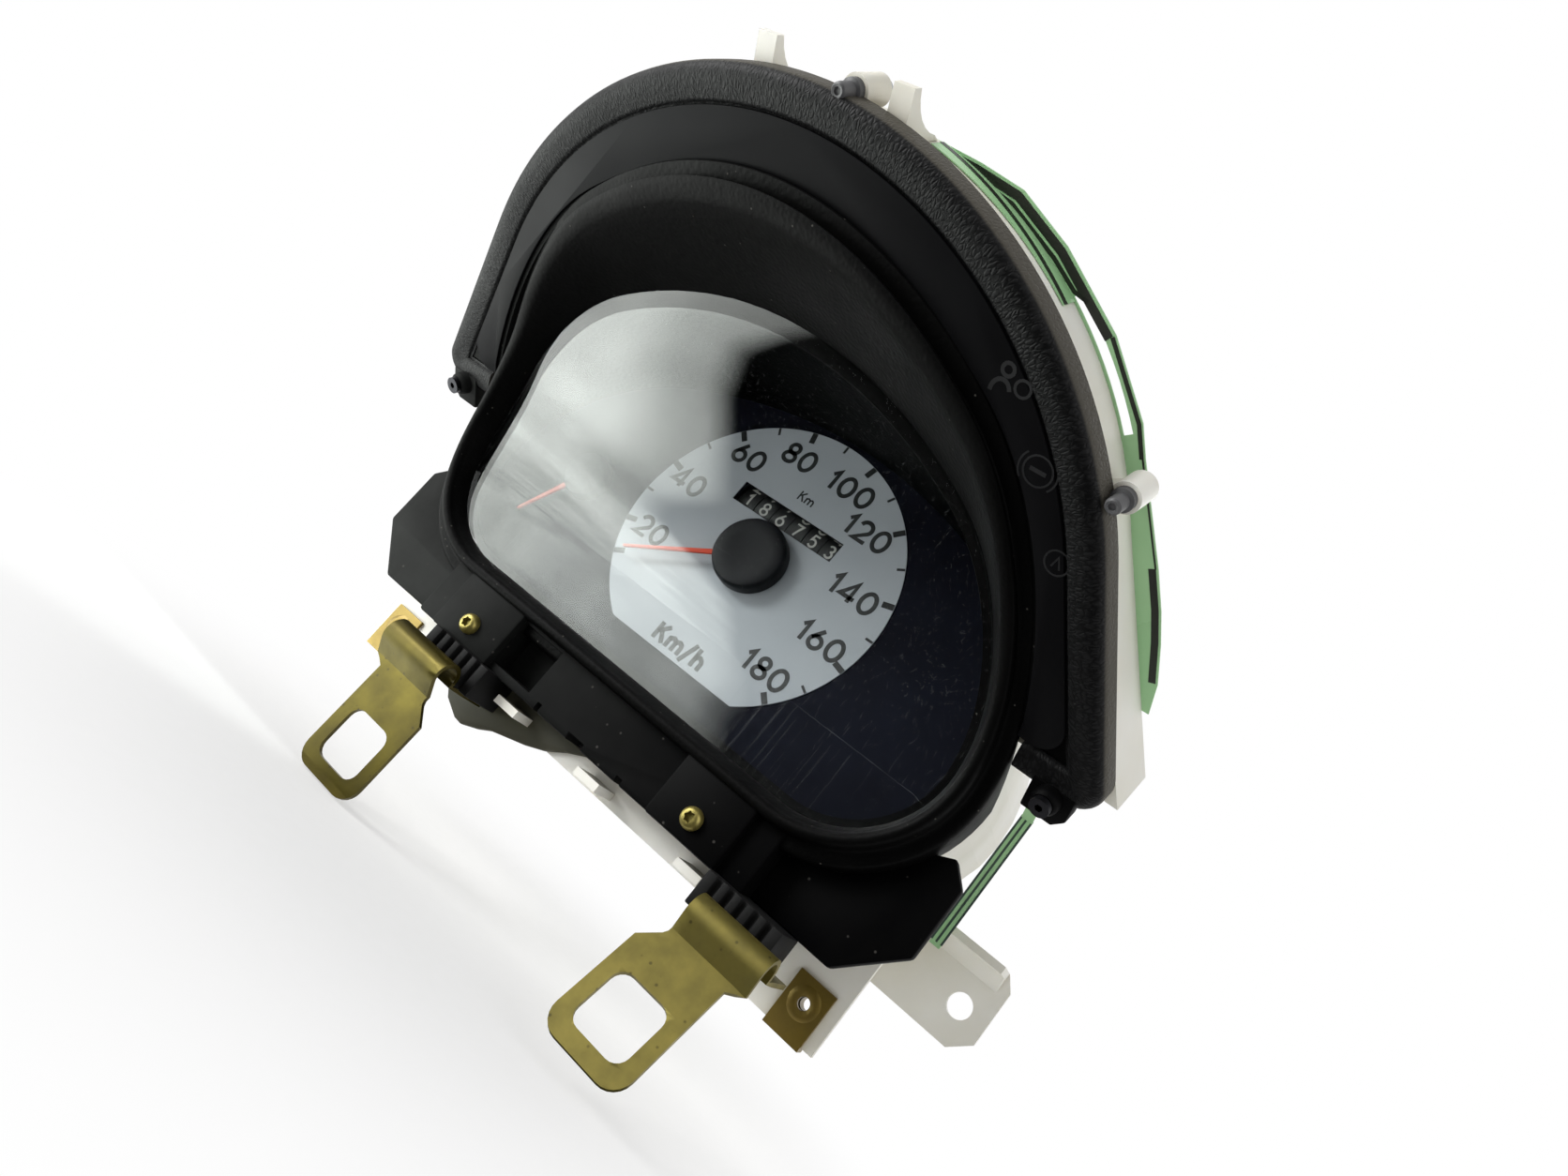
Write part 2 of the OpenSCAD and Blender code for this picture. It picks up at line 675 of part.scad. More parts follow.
module rear_case() {
  color(ivory) on_dial() difference() {
    union() {
      case_sleeve();
      case_tray();
      case_belly();
      both_sides() case_foot();
      both_sides() case_ear();
      both_sides() case_hook();
    }
    rod_y(drive_r + spindle_clear, back_y - 1, case_depth + 1);
    both_sides() translate([foot_x, 0, -foot_drop]) rod_y(foot_hole_r, 0, case_depth + 1);
    both_sides() translate([nut_x, 0, -nut_drop]) rod_y(ear_hole_r, 0, case_depth);
    for (p = post_places) on_arch() translate([p[0], 0, p[1]]) rod_y(post_screw_r + run_gap, 0, ring_back + 1);
  }
}

// Circuit, lamps and plug tongues on the back of the arch
film_t = 0.3;
film_slot = 2;
film_slot_from = 37;
film_slot_to = 54;
// Turn from straight up and reach beyond the arch, along the film's free edge
film_edge = [[11, -4.2], [18, -2.1], [24, 0.2], [32, 0.5], [43, 1], [53, 1], [57, 0.2], [65, 0.8], [70, 2.2],
  [75, 4], [79, 5.5], [84, 7.6], [88, 8.4]];
tail_x = arch_half_w - 18;
tail_w = 3.2;
tail_v = 45;
tail_low = 50;
holder_r = 7;
holder_l = 10;
film_back = tray_d + film_t;
function fan(r_in, r_out, from, to) = concat([for (i = [0:8]) on_arch_arc(r_out, from + (to - from) * i / 8)],
  [for (i = [8:-1:0]) on_arch_arc(r_in, from + (to - from) * i / 8)]);
function film_wing() = concat([for (p = film_edge) on_arch_arc(arch_r + p[1], p[0])],
  [for (i = [len(film_edge) - 1:-1:0]) on_arch_arc(tray_r - 6, film_edge[i][0])]);
module flex_circuit() {
  color("#2f5a3c") on_dial() {
    difference() {
      on_arch() depth(tray_d, film_back) union() {
        polygon(tray_outline(-0.5));
        polygon(film_wing());
        translate([tail_x - tail_w / 2, -tail_v]) square([tail_w, tail_v]);
      }
      hood_bar(case_out + seat_gap, -reach_far, reach_far);
      on_arch() depth(tray_d - 1, film_back + 1)
        polygon(fan(tray_r + 0.6, tray_r + 0.6 + film_slot, film_slot_from, film_slot_to));
      for (p = bulb_places) on_arch() translate([p[0], 0, p[1]]) rod_y(bulb_hole_r, 0, film_back + 1);
    }
    tail_y = -arch_reach + tray_d * cos(arch_tilt) + tail_v * sin(arch_tilt);
    tail_z = tray_d * sin(arch_tilt) - tail_v * cos(arch_tilt);
    block([tail_x - tail_w * 0.46, tail_y - film_t, -tail_low],
      [tail_x + tail_w * 0.46, tail_y + film_t, tail_z + film_t]);
  }
}
module at_bulbs() { for (p = bulb_places) on_arch() translate([p[0], 0, p[1]]) children(); }
module bulb_holders() {
  color("#2a2a2c") on_dial() at_bulbs() {
    rod_y(holder_r, film_back, film_back + holder_l * 0.4);
    rod_y(holder_r * 0.7, film_back, film_back + holder_l);
    block([-holder_r * 0.9, film_back, -1], [holder_r * 0.9, film_back + holder_l, 1]);
  }
}
module bulbs() {
  color("#f2ead0", 0.5) on_dial() at_bulbs() rod_y(bulb_r, film_back - 12, film_back);
}
tongue_x = arch_half_w - 25;
tongue_v = 8;
tongue_w = 20;
tongue_h = 12;
tongue_l = 13;
module plug_tongue() {
  on_arch() translate([tongue_x, 0, tongue_v]) {
    block([-tongue_w / 2, film_back, -tongue_h / 2], [tongue_w / 2, film_back + tongue_l / 4, tongue_h / 2]);
    block([-tongue_w / 2 + 1, film_back, -tongue_h / 6], [tongue_w / 2 - 1, film_back + tongue_l, tongue_h / 6]);
  }
}
module plug_tongues() {
  color("#e8e6de") on_dial() both_sides() plug_tongue();
}

// Brackets and fixings
block_h = 6;
block_front = strip_reach + 5;
block_back = 8;
bead_r = 4.5;
bead_y = block_front + bead_r + 0.1;
bead_drop = strip_drop + block_h - 0.6;
loop_rail = 4.2;
loop_top = loop_l - loop_rail - loop_hole;
module bracket_side(lean) {
  difference() {
    union() {
      translate([0, bead_drop - strip_drop - block_h - bracket_t]) square([bead_y - block_back, bracket_t]);
      circle(r = bead_r);
      rotate(-lean) translate([-bracket_t / 2, -loop_l]) square([bracket_t, loop_l]);
    }
    circle(r = bead_r - bracket_t);
  }
}
module bracket(place, lean) {
  translate([place, -bead_y, -bead_drop]) difference() {
    translate([-bracket_w / 2, 0, 0]) rotate([90, 0, 90]) linear_extrude(bracket_w) bracket_side(lean);
    rotate([-lean, 0, 0])
      block([-loop_hole / 2, -bracket_t, -loop_top - loop_hole], [loop_hole / 2, bracket_t, -loop_top]);
  }
}
module left_bracket() {
  color(zinc) on_dial() mirror([1, 0, 0]) bracket(left_bracket_x, left_lean);
}
module right_bracket() {
  color(zinc) on_dial() bracket(right_bracket_x, right_lean);
}
rib_n = 5;
module rubber_block(place) {
  translate([place, 0, 0]) difference() {
    block([-bracket_w / 2, -block_front, -strip_drop - block_h], [bracket_w / 2, -block_back, -strip_drop]);
    for (i = [1:rib_n]) translate([-bracket_w / 2 + i * bracket_w / (rib_n + 1), 0, 0])
      block([-0.8, -block_front - 1, -strip_drop - block_h + 1.5], [0.8, -block_front + 1.5, -strip_drop - 1.5]);
  }
}
module left_block() {
  color("#161618") on_dial() mirror([1, 0, 0]) rubber_block(left_bracket_x);
}
module right_block() {
  color("#161618") on_dial() rubber_block(right_bracket_x);
}
head_r = 3.4;
head_h = 2.4;
drive_hole_r = 1.4;
screw_l = 14;
corner_screw_r = 1.2;
module screw(r, big_r, height, length) {
  difference() {
    union() {
      rod_y(big_r, -height, 0);
      rod_y(r, -height / 2, length);
    }
    depth(-height - 1, -height + 1.4) circle(r = big_r * drive_hole_r / head_r, $fn = 6);
  }
}
module strip_screws() {
  color(zinc) on_dial() both_sides() translate([screw_x, -strip_reach - pad_h, -screw_drop])
    screw(screw_r, head_r, head_h, screw_l);
}
module corner_screws() {
  color(steel) on_dial() both_sides() on_arch() translate([boss_x, -boss_h, -arch_drop - 2])
    screw(corner_screw_r, 2 * corner_screw_r, 1.5, boss_h);
}
clip_t = 1.2;
clip_w = 11;
clip_high = 6;
clip_low = 6.2;
clip_boss_r = 3;
clip_boss_l = 3;
module clip_nut() {
  translate([nut_x, 0, -nut_drop]) difference() {
    union() {
      block([-clip_w / 2, ear_y - clip_t, -ear_low - clip_t], [clip_w / 2, ear_y, clip_high]);
      block([-clip_w / 2, ear_y + case_wall, -ear_low - clip_t], [clip_w / 2, ear_y + case_wall + clip_t, clip_high]);
      block([-clip_w / 2, ear_y - clip_t, -ear_low - clip_t], [clip_w / 2, ear_y + case_wall + clip_t, -ear_low]);
      rod_y(clip_boss_r, ear_y + case_wall, ear_y + case_wall + clip_t + clip_boss_l);
    }
    rod_y(nut_hole_r, 0, reach_far);
  }
}
module clip_nuts() {
  color("#a9884a") on_dial() both_sides() clip_nut();
}
module post_screws() {
  color(steel) on_dial() for (p = post_places) on_arch() translate([p[0], 0, p[1]]) {
    rod_y(post_screw_r, 1, ring_back);
    rod_y(2 * post_screw_r, ring_back, ring_back + 2);
  }
}

front_bezel();
telltale_crescent();
lens();
dial_plate();
dial_face();
speed_pointer();
pointer_cap();
pointer_spindle();
drag_cup();
hairspring();
magnet();
drive_spindle();
speedo_frame();
cross_shaft();
idler_gear();
drum_axle();
odometer_drum_1();
odometer_drum_2();
odometer_drum_3();
odometer_drum_4();
odometer_drum_5();
odometer_drum_6();
cable_inlet();
fuel_movement();
fuel_spindle();
fuel_cap();
fuel_pointer();
rear_case();
flex_circuit();
bulb_holders();
bulbs();
plug_tongues();
left_bracket();
right_bracket();
left_block();
right_block();
strip_screws();
corner_screws();
clip_nuts();
post_screws();
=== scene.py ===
import math
from functools import partial
import bpy
from mathutils import Matrix, Vector


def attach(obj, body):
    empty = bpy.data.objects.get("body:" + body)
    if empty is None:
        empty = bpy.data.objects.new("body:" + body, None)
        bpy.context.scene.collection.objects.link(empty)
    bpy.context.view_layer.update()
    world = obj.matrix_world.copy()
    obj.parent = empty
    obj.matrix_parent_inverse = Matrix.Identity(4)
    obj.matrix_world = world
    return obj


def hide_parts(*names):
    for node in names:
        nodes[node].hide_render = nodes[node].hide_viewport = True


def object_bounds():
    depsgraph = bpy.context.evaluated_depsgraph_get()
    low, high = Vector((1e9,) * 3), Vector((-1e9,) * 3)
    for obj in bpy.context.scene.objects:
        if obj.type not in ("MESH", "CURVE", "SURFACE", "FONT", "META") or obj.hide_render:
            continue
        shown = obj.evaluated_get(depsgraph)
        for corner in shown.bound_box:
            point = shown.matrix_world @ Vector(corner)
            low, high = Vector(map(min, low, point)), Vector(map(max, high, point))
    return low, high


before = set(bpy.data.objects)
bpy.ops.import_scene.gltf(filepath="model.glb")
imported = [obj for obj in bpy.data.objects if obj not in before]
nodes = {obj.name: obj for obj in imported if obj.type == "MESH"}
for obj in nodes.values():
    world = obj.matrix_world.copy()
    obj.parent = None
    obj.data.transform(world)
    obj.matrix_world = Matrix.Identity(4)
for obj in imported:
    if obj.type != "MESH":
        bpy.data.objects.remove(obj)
cadLow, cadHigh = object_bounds()
print("frame loaded,", len(nodes), "nodes")
bpy.context.scene.view_settings.view_transform = "Standard"

# places: the dial face is y = 0 and the spindle x = z = 0, all in mm
mm = 0.001
dialPlace = {"back": -46.0, "up": 57.6}
archPlace = {"reach": 31.2, "lean": 52.0, "r": 102.0, "drop": 1.0, "turn": 23.49,
             "arcSteps": 72, "cornerSteps": 10, "legSteps": 10, "footSteps": 4}
hoodLine = {"flat": 55.5, "waist": -18.3, "cornerR": 32.2, "sideX": 33.7, "sideR": 54.0, "topR": 135.44, "top": 43.0,
            "turn": 65.55, "flatSteps": 12, "cornerSteps": 18, "sideSteps": 20, "topSteps": 14}
# depths against height: upright at the foot, a bend, then a straight lean
rimLine = {"foot": -22.0, "curl": 0.0, "curlTop": -40.0, "bendLow": -37.7, "bendR": 57.63, "bendTop": 9.5,
           "lean": -46.57, "slope": 1.428}
lensLine = {"foot": -16.0, "curl": 0.005, "curlTop": -40.0, "bendLow": -33.3, "bendR": 54.95, "bendTop": 2.02,
            "lean": -28.86, "slope": 0.839}


def onDial(x, y, z):
    return Vector((x, y + dialPlace["back"], z + dialPlace["up"])) * mm


def onArch(u, d, v):  # across, behind and up the leaning face
    a = math.radians(archPlace["lean"])
    return onDial(u, d * math.cos(a) - v * math.sin(a) - archPlace["reach"], d * math.sin(a) + v * math.cos(a))


def archPush(depth):  # straight back from the leaning face
    return onArch(0, depth, 0) - onArch(0, 0, 0)


def spot(place, a, b, c):  # the same placing, counted from a spot
    return lambda x, y, z: place(a + x, b + y, c + z)


def bow(cx, cz, rx, rz, start, end, steps):
    turns = [math.radians(start + (end - start) * i / steps) for i in range(steps + 1)]
    return [(cx + rx * math.cos(t), cz + rz * math.sin(t)) for t in turns]


def hoodOutline(grow):  # closed ring, from the bottom middle round by the right
    h = hoodLine
    corner, side, top = h["cornerR"] + grow, h["sideR"] + grow, h["topR"] + grow
    half = [(h["flat"] * i / h["flatSteps"], h["waist"] - corner) for i in range(h["flatSteps"])]
    half += bow(h["flat"], h["waist"], corner, corner, -90, 0, h["cornerSteps"])
    half += bow(h["sideX"], h["waist"], side, side, 0, h["turn"], h["sideSteps"])[1:]
    half += bow(0, h["top"] - h["topR"], top, top, h["turn"], 90, h["topSteps"])[1:]
    return half + [(-x, z) for x, z in reversed(half[1:-1])]


def archPath(grow, cornerR, low, inner):  # from the right foot's inner end, round its corner and over to the left
    p = archPlace
    a = math.radians(p["turn"])
    r = p["r"] + grow
    arc = bow(0, -p["drop"], r, r, p["turn"], 180 - p["turn"], p["arcSteps"])
    cornerR = max(cornerR, 0.0005)
    base = r - cornerR
    run = (base * math.sin(a) - p["drop"] - low - cornerR) / math.cos(a)
    corner = bow(base * math.cos(a) + run * math.sin(a), low + cornerR, cornerR, cornerR, -90, p["turn"],
                 p["cornerSteps"])
    (u, v), (u2, v2) = corner[-1], arc[0]
    shares = [k / p["legSteps"] for k in range(1, p["legSteps"])]
    leg = [(u + (u2 - u) * t, v + (v2 - v) * t) for t in shares]
    foot = [(inner + (corner[0][0] - inner) * k / p["footSteps"], low) for k in range(p["footSteps"])]
    half = foot + corner + leg
    return half + arc + [(-u, v) for u, v in reversed(half)]


def sweptDepth(line, z):
    if z <= line["bendLow"]:
        return line["foot"] - line["curl"] * max(0, line["curlTop"] - z) ** 2
    if z <= line["bendTop"]:
        return line["foot"] - line["bendR"] + math.sqrt(line["bendR"] ** 2 - (z - line["bendLow"]) ** 2)
    return line["lean"] - line["slope"] * (z - line["bendTop"])


def rimY(z):
    return sweptDepth(rimLine, z)


def lensY(z):
    return sweptDepth(lensLine, z)


def archY(z):
    return -archPlace["reach"] - z * math.tan(math.radians(archPlace["lean"]))


# modelling helpers
def pickOnly(piece):
    if bpy.context.mode != "OBJECT":
        bpy.ops.object.mode_set(mode="OBJECT")
    bpy.ops.object.select_all(action="DESELECT")
    piece.select_set(True)
    bpy.context.view_layer.objects.active = piece


def meshPiece(name, points, faces, edges=()):
    mesh = bpy.data.meshes.new(name)
    mesh.from_pydata([tuple(p) for p in points], edges, faces)
    piece = bpy.data.objects.new(name, mesh)
    bpy.context.scene.collection.objects.link(piece)
    return piece


def applyMod(piece, kind, **settings):
    pickOnly(piece)
    mod = piece.modifiers.new(kind.lower(), kind)
    for key, value in settings.items():
        setattr(mod, key, value)
    bpy.ops.object.modifier_apply(modifier=mod.name)
    return piece


def editAll(piece):  # into edit mode with everything selected
    pickOnly(piece)
    bpy.ops.object.mode_set(mode="EDIT")
    bpy.ops.mesh.select_all(action="SELECT")


def tidyNormals(piece):
    editAll(piece)
    bpy.ops.mesh.remove_doubles(threshold=0.000002)
    bpy.ops.mesh.normals_make_consistent(inside=False)
    bpy.ops.object.mode_set(mode="OBJECT")
    return piece


def gridPiece(name, rows, ring=False, tube=False, caps=False):  # quads over rows of points, its map in mm
    high, wide = len(rows), len(rows[0])
    across = wide if ring else wide - 1
    along = high if tube else high - 1
    faces = []
    corners = []
    for i in range(along):
        for j in range(across):
            i2, j2 = (i + 1) % high, (j + 1) % wide
            faces.append((i * wide + j, i * wide + j2, i2 * wide + j2, i2 * wide + j))
            corners.append(((i, j), (i, j + 1), (i + 1, j + 1), (i + 1, j)))
    if caps:
        faces.append(tuple(range(wide)))
        faces.append(tuple((high - 1) * wide + j for j in range(wide)))
    piece = meshPiece(name, [p for row in rows for p in row], faces)
    middle = rows[high // 2]
    u = [0.0]
    v = [0.0]
    for j in range(across):
        u.append(u[-1] + (middle[(j + 1) % wide] - middle[j]).length / mm)
    for i in range(along):
        v.append(v[-1] + (rows[(i + 1) % high][0] - rows[i][0]).length / mm)
    layer = piece.data.uv_layers.new(name="UVMap")
    for poly, quad in zip(piece.data.polygons, corners):
        for loopIndex, (i, j) in zip(poly.loop_indices, quad):
            layer.data[loopIndex].uv = (u[j], v[i])
    return tidyNormals(piece)


def platePiece(name, outline, push, rounding=0.0):  # outline of a face, pushed to its thickness, edges rounded
    piece = meshPiece(name, outline, [tuple(range(len(outline)))])
    editAll(piece)
    bpy.ops.mesh.extrude_region_move(TRANSFORM_OT_translate={"value": tuple(push)})
    tidyNormals(piece)
    if rounding:
        applyMod(piece, "BEVEL", width=rounding * mm, segments=2, limit_method="ANGLE", angle_limit=math.radians(38))
    return piece


def dialPlate(name, outline, plate):  # a plate that faces the reader
    return platePiece(name, [onDial(x, plate["front"], z) for x, z in outline], Vector((0, plate["thick"] * mm, 0)),
                      plate["rounding"])


def boxPiece(name, low, high, rounding=0.0):  # a cube brought to size, its edges bevelled
    bpy.ops.object.select_all(action="DESELECT")
    bpy.ops.mesh.primitive_cube_add(size=1, location=(low + high) / 2)
    piece = bpy.context.object
    piece.name = piece.data.name = name
    piece.scale = [abs(a) for a in (high - low)]
    bpy.ops.object.transform_apply(location=True, rotation=True, scale=True)
    if rounding:
        editAll(piece)
        bpy.ops.mesh.bevel(offset=rounding * mm, segments=2, affect="EDGES")
        bpy.ops.object.mode_set(mode="OBJECT")
    return piece


def turnedPiece(name, profile, place, steps):  # (radius, depth) points spun round a line of sight, in mm
    edges = [(i, i + 1) for i in range(len(profile) - 1)]
    piece = meshPiece(name, [place(r, y, 0) for r, y in profile], [], edges)
    axis = place(0, 1, 0) - place(0, 0, 0)
    editAll(piece)
    bpy.ops.mesh.spin(steps=steps, angle=math.tau, center=place(0, 0, 0), axis=axis.normalized())
    return tidyNormals(piece)


def cutPiece(piece, *cutters):
    for cutter in cutters:
        applyMod(piece, "BOOLEAN", operation="DIFFERENCE", solver="EXACT", object=cutter)
        bpy.data.objects.remove(cutter)
    return piece


def joinPieces(name, parts):
    pickOnly(parts[0])
    for part in parts:
        part.select_set(True)
    bpy.ops.object.join()
    piece = bpy.context.object
    piece.name = piece.data.name = name
    return piece


def finishPiece(piece, material, body="cluster", slot=None, stands=(), smooth=35):
    pickOnly(piece)
    bpy.ops.object.shade_smooth_by_angle(angle=math.radians(smooth))
    piece.data.materials.clear()
    piece.data.materials.append(material)
    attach(piece, body)
    if stands:
        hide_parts(*stands)


def faceNode(node, material):
    nodes[node].data.materials.clear()
    nodes[node].data.materials.append(material)


# material helpers
colorMix = {"data_type": "RGBA"}
smoothStep = {"interpolation_type": "SMOOTHSTEP"}
largest = {"operation": "MAXIMUM"}
product = {"operation": "MULTIPLY"}


def hexColor(code):
    parts = [int(code[i:i + 2], 16) / 255 for i in (1, 3, 5)]
    return tuple(c / 12.92 if c <= 0.04045 else ((c + 0.055) / 1.055) ** 2.4 for c in parts) + (1.0,)


def perMetre(size):  # a pattern's scale, from its size in mm
    return 1000 / size


def addNode(tree, kind, inputs=(), settings=(), curve=()):
    node = tree.nodes.new("ShaderNode" + kind)
    for key, value in dict(settings).items():
        setattr(node, key, value)
    for key, value in dict(inputs).items():
        if isinstance(value, bpy.types.Node):  # a node stands for its first live output
            value = next(out for out in value.outputs if out.enabled)
        elif isinstance(value, str):
            value = hexColor(value)
        if isinstance(value, bpy.types.NodeSocket):
            tree.links.new(value, node.inputs[key])
        else:
            node.inputs[key].default_value = value
    if curve:  # straight runs between the points, level beyond them
        node.mapping.use_clip = False
        points = node.mapping.curves[0].points
        points[0].location, points[1].location = curve[:2]
        for point in curve[2:]:
            points.new(*point)
        for point in points:
            point.handle_type = "VECTOR"
        node.mapping.update()
    return node


def newMaterial(name):
    material = bpy.data.materials.new(name)
    material.use_nodes = True
    material.node_tree.nodes.clear()
    add = partial(addNode, material.node_tree)
    return material, add, add("TexCoord").outputs["Object"]


def closeMaterial(material, surface):
    addNode(material.node_tree, "OutputMaterial", {"Surface": surface})
    return material


def makeGrainedAbs():
    # ABS moulded black in an etched tool: leather wrinkles on the roll, satin tops, painted shade in the creases, a
    # rubbed skirt
    material, add, where = newMaterial("grainedAbs")
    unrolled = where.node.outputs["UV"]  # mm across and along the roll; a wrinkle is 1.7 by 0.9 mm
    size = add("Mapping", {"Vector": unrolled, "Scale": (1 / 1.7, 1 / 0.9, 1)})
    sway = add("TexNoise", {"Vector": size, "Scale": 0.9, "Detail": 2})
    bent = add("VectorMath", {0: sway.outputs["Color"], 1: (0.9, 0.9, 0), 2: size}, {"operation": "MULTIPLY_ADD"})
    wrinkle = add("TexVoronoi", {"Vector": bent, "Scale": 1.0}, {"feature": "DISTANCE_TO_EDGE"})
    crest = add("MapRange", {0: wrinkle, 1: 0.0, 2: 0.3, 3: 0.0, 4: 1.0}, smoothStep)
    dust = add("TexNoise", {"Vector": where, "Scale": perMetre(35.714), "Detail": 4})
    tone = add("Mix", {0: dust, 6: "#0b0b0c", 7: "#19191a"}, colorMix)
    # painted shade: the creases between the wrinkles are mixed to a darker black
    worn = add("Mix", {0: crest, 6: "#050506", 7: tone}, colorMix)
    gloss = add("MapRange", {0: dust, 1: 0.3, 2: 0.7, 3: 0.46, 4: 0.6})
    across = add("SeparateXYZ", {0: unrolled})
    skirt = add("MapRange", {0: across, 1: 4.6, 2: 5.6, 3: 1.0, 4: 0.0}, smoothStep)
    rubbed = add("Mix", {0: skirt, 6: worn, 7: "#48453e"}, colorMix)
    bump = add("Bump", {"Strength": 0.42, "Distance": 0.0002, "Height": crest})
    return closeMaterial(material, add("BsdfPrincipled", {
        "Base Color": rubbed, "Roughness": gloss, "Normal": bump, "Specular IOR Level": 0.14}))


def makePebbledAbs():
    # the same ABS with a fine pebble, 0.7 mm in the tool and drawn at 1 mm so that it shows: deep black, soft sheen
    material, add, where = newMaterial("pebbledAbs")
    pebble = add("TexVoronoi", {"Vector": where, "Scale": perMetre(1.0)}, {"feature": "SMOOTH_F1"})
    dust = add("TexNoise", {"Vector": where, "Scale": perMetre(25), "Detail": 5})
    tone = add("Mix", {0: dust, 6: "#040404", 7: "#0a0a0a"}, colorMix)
    speck = add("TexVoronoi", {"Vector": where, "Scale": perMetre(4.1667)})
    dot = add("MapRange", {0: speck, 1: 0.04, 2: 0.07, 3: 0.6, 4: 0.0})
    speckled = add("Mix", {0: dot, 6: tone, 7: "#5c5a55"}, colorMix)
    gloss = add("MapRange", {0: dust, 1: 0.3, 2: 0.7, 3: 0.42, 4: 0.56})
    bump = add("Bump", {"Strength": 0.45, "Distance": 0.00016, "Height": pebble})
    return closeMaterial(material, add("BsdfPrincipled", {
        "Base Color": speckled, "Roughness": gloss, "Normal": bump, "Specular IOR Level": 0.045}))


def makeDustyAbs():
    # ABS left as moulded, unpolished, with grey dust in patches and pale specks, and painted light that makes it
    # lighter towards the left
    material, add, where = newMaterial("dustyAbs")
    haze = add("TexNoise", {"Vector": where, "Scale": perMetre(18.182), "Detail": 6, "Roughness": 0.65})
    speck = add("TexVoronoi", {"Vector": where, "Scale": perMetre(4.7619)})
    dot = add("MapRange", {0: speck, 1: 0.05, 2: 0.09, 3: 0.7, 4: 0.0})
    hazy = add("MapRange", {0: haze, 1: 0.35, 2: 0.72, 3: 0.0, 4: 1.0})
    # painted light: the clean and the dusted tone are both lighter towards the left, as if lit from that side
    side = add("SeparateXYZ", {0: where})
    paintedLeftLight = add("MapRange", {0: side, 1: -0.075, 2: 0.05, 3: 1.0, 4: 0.0}, smoothStep)
    clean = add("Mix", {0: paintedLeftLight, 6: "#020203", 7: "#171817"}, colorMix)
    dustedSideLit = add("Mix", {0: paintedLeftLight, 6: "#060606", 7: "#242524"}, colorMix)
    tone = add("Mix", {0: hazy, 6: clean, 7: dustedSideLit}, colorMix)
    speckled = add("Mix", {0: dot, 6: tone, 7: "#4a4845"}, colorMix)
    bump = add("Bump", {"Strength": 0.2, "Distance": 0.0002, "Height": haze})
    return closeMaterial(material, add("BsdfPrincipled", {
        "Base Color": speckled, "Roughness": 0.58, "Normal": bump, "Specular IOR Level": 0.05}))


def makeSatinAbs():
    # thin moulded cover, smooth satin charcoal with a faint cloud of handling marks
    material, add, where = newMaterial("satinAbs")
    cloud = add("TexNoise", {"Vector": where, "Scale": perMetre(33.333), "Detail": 4})
    tone = add("Mix", {0: cloud, 6: "#09090a", 7: "#101012"}, colorMix)
    gloss = add("MapRange", {0: cloud, 1: 0.3, 2: 0.7, 3: 0.36, 4: 0.5})
    fine = add("TexNoise", {"Vector": where, "Scale": perMetre(0.71429), "Detail": 1})
    bump = add("Bump", {"Strength": 0.12, "Distance": 0.0001, "Height": fine})
    return closeMaterial(material, add("BsdfPrincipled", {
        "Base Color": tone, "Roughness": gloss, "Normal": bump, "Specular IOR Level": 0.045}))


def makeAcrylic():
    # clear cast acrylic: sharp reflections broken by hair scratches and dust; lamps pass straight through to the dial
    material, add, where = newMaterial("clearAcrylic")
    turned = add("Mapping", {"Vector": where, "Rotation": (0.3, 0.5, 0.7), "Scale": (14, 420, 420)})
    hair = add("TexNoise", {"Vector": turned, "Scale": 1.0, "Detail": 1})  # 70 by 2.4 mm
    line = add("MapRange", {0: hair, 1: 0.74, 2: 0.8, 3: 0.0, 4: 0.1})
    pane = add("BsdfPrincipled", {
        "Base Color": "#f4f7f6", "Roughness": line, "Transmission Weight": 1.0, "IOR": 1.49,
        "Specular IOR Level": 0.9})
    crossed = add("Mapping", {"Vector": where, "Rotation": (0.2, -0.6, 0.4), "Scale": (1500, 1500, 18)})
    scratch = add("TexNoise", {"Vector": crossed, "Scale": 1.0, "Detail": 0})  # 55 by 0.7 mm
    scuff = add("MapRange", {0: scratch, 1: 0.7, 2: 0.82, 3: 0.0, 4: 0.035})
    grit = add("TexVoronoi", {"Vector": where, "Scale": perMetre(6.6667)})
    fleck = add("MapRange", {0: grit, 1: 0.02, 2: 0.04, 3: 0.14, 4: 0.0})
    marks = add("Math", {0: scuff, 1: fleck}, largest)
    dusty = add("BsdfDiffuse", {"Color": "#c6c8c6"})
    worn = add("MixShader", {0: marks, 1: pane, 2: dusty})
    path = add("LightPath")
    clear = add("BsdfTransparent", {"Color": "#f6f7f7"})
    through = add("Math", {0: path.outputs["Is Shadow Ray"], 1: path.outputs["Is Diffuse Ray"]}, largest)
    return closeMaterial(material, add("MixShader", {0: through, 1: worn, 2: clear}))


def makePainted(name, dark, light, rough, patch=16.667, relief=0.08, shine=0.5):
    # screen ink, paint or a plain moulding: an even coat that varies a little in tone and gloss, in patches of a size
    material, add, where = newMaterial(name)
    cloud = add("TexNoise", {"Vector": where, "Scale": perMetre(patch), "Detail": 5})
    tone = add("Mix", {0: cloud, 6: dark, 7: light}, colorMix)
    gloss = add("MapRange", {0: cloud, 1: 0.3, 2: 0.7, 3: rough - 0.06, 4: rough + 0.06})
    fine = add("TexNoise", {"Vector": where, "Scale": perMetre(0.66667), "Detail": 1})  # drawn coarse
    bump = add("Bump", {"Strength": relief, "Distance": 0.0001, "Height": fine})
    return closeMaterial(material, add("BsdfPrincipled", {
        "Base Color": tone, "Roughness": gloss, "Normal": bump, "Specular IOR Level": shine}))


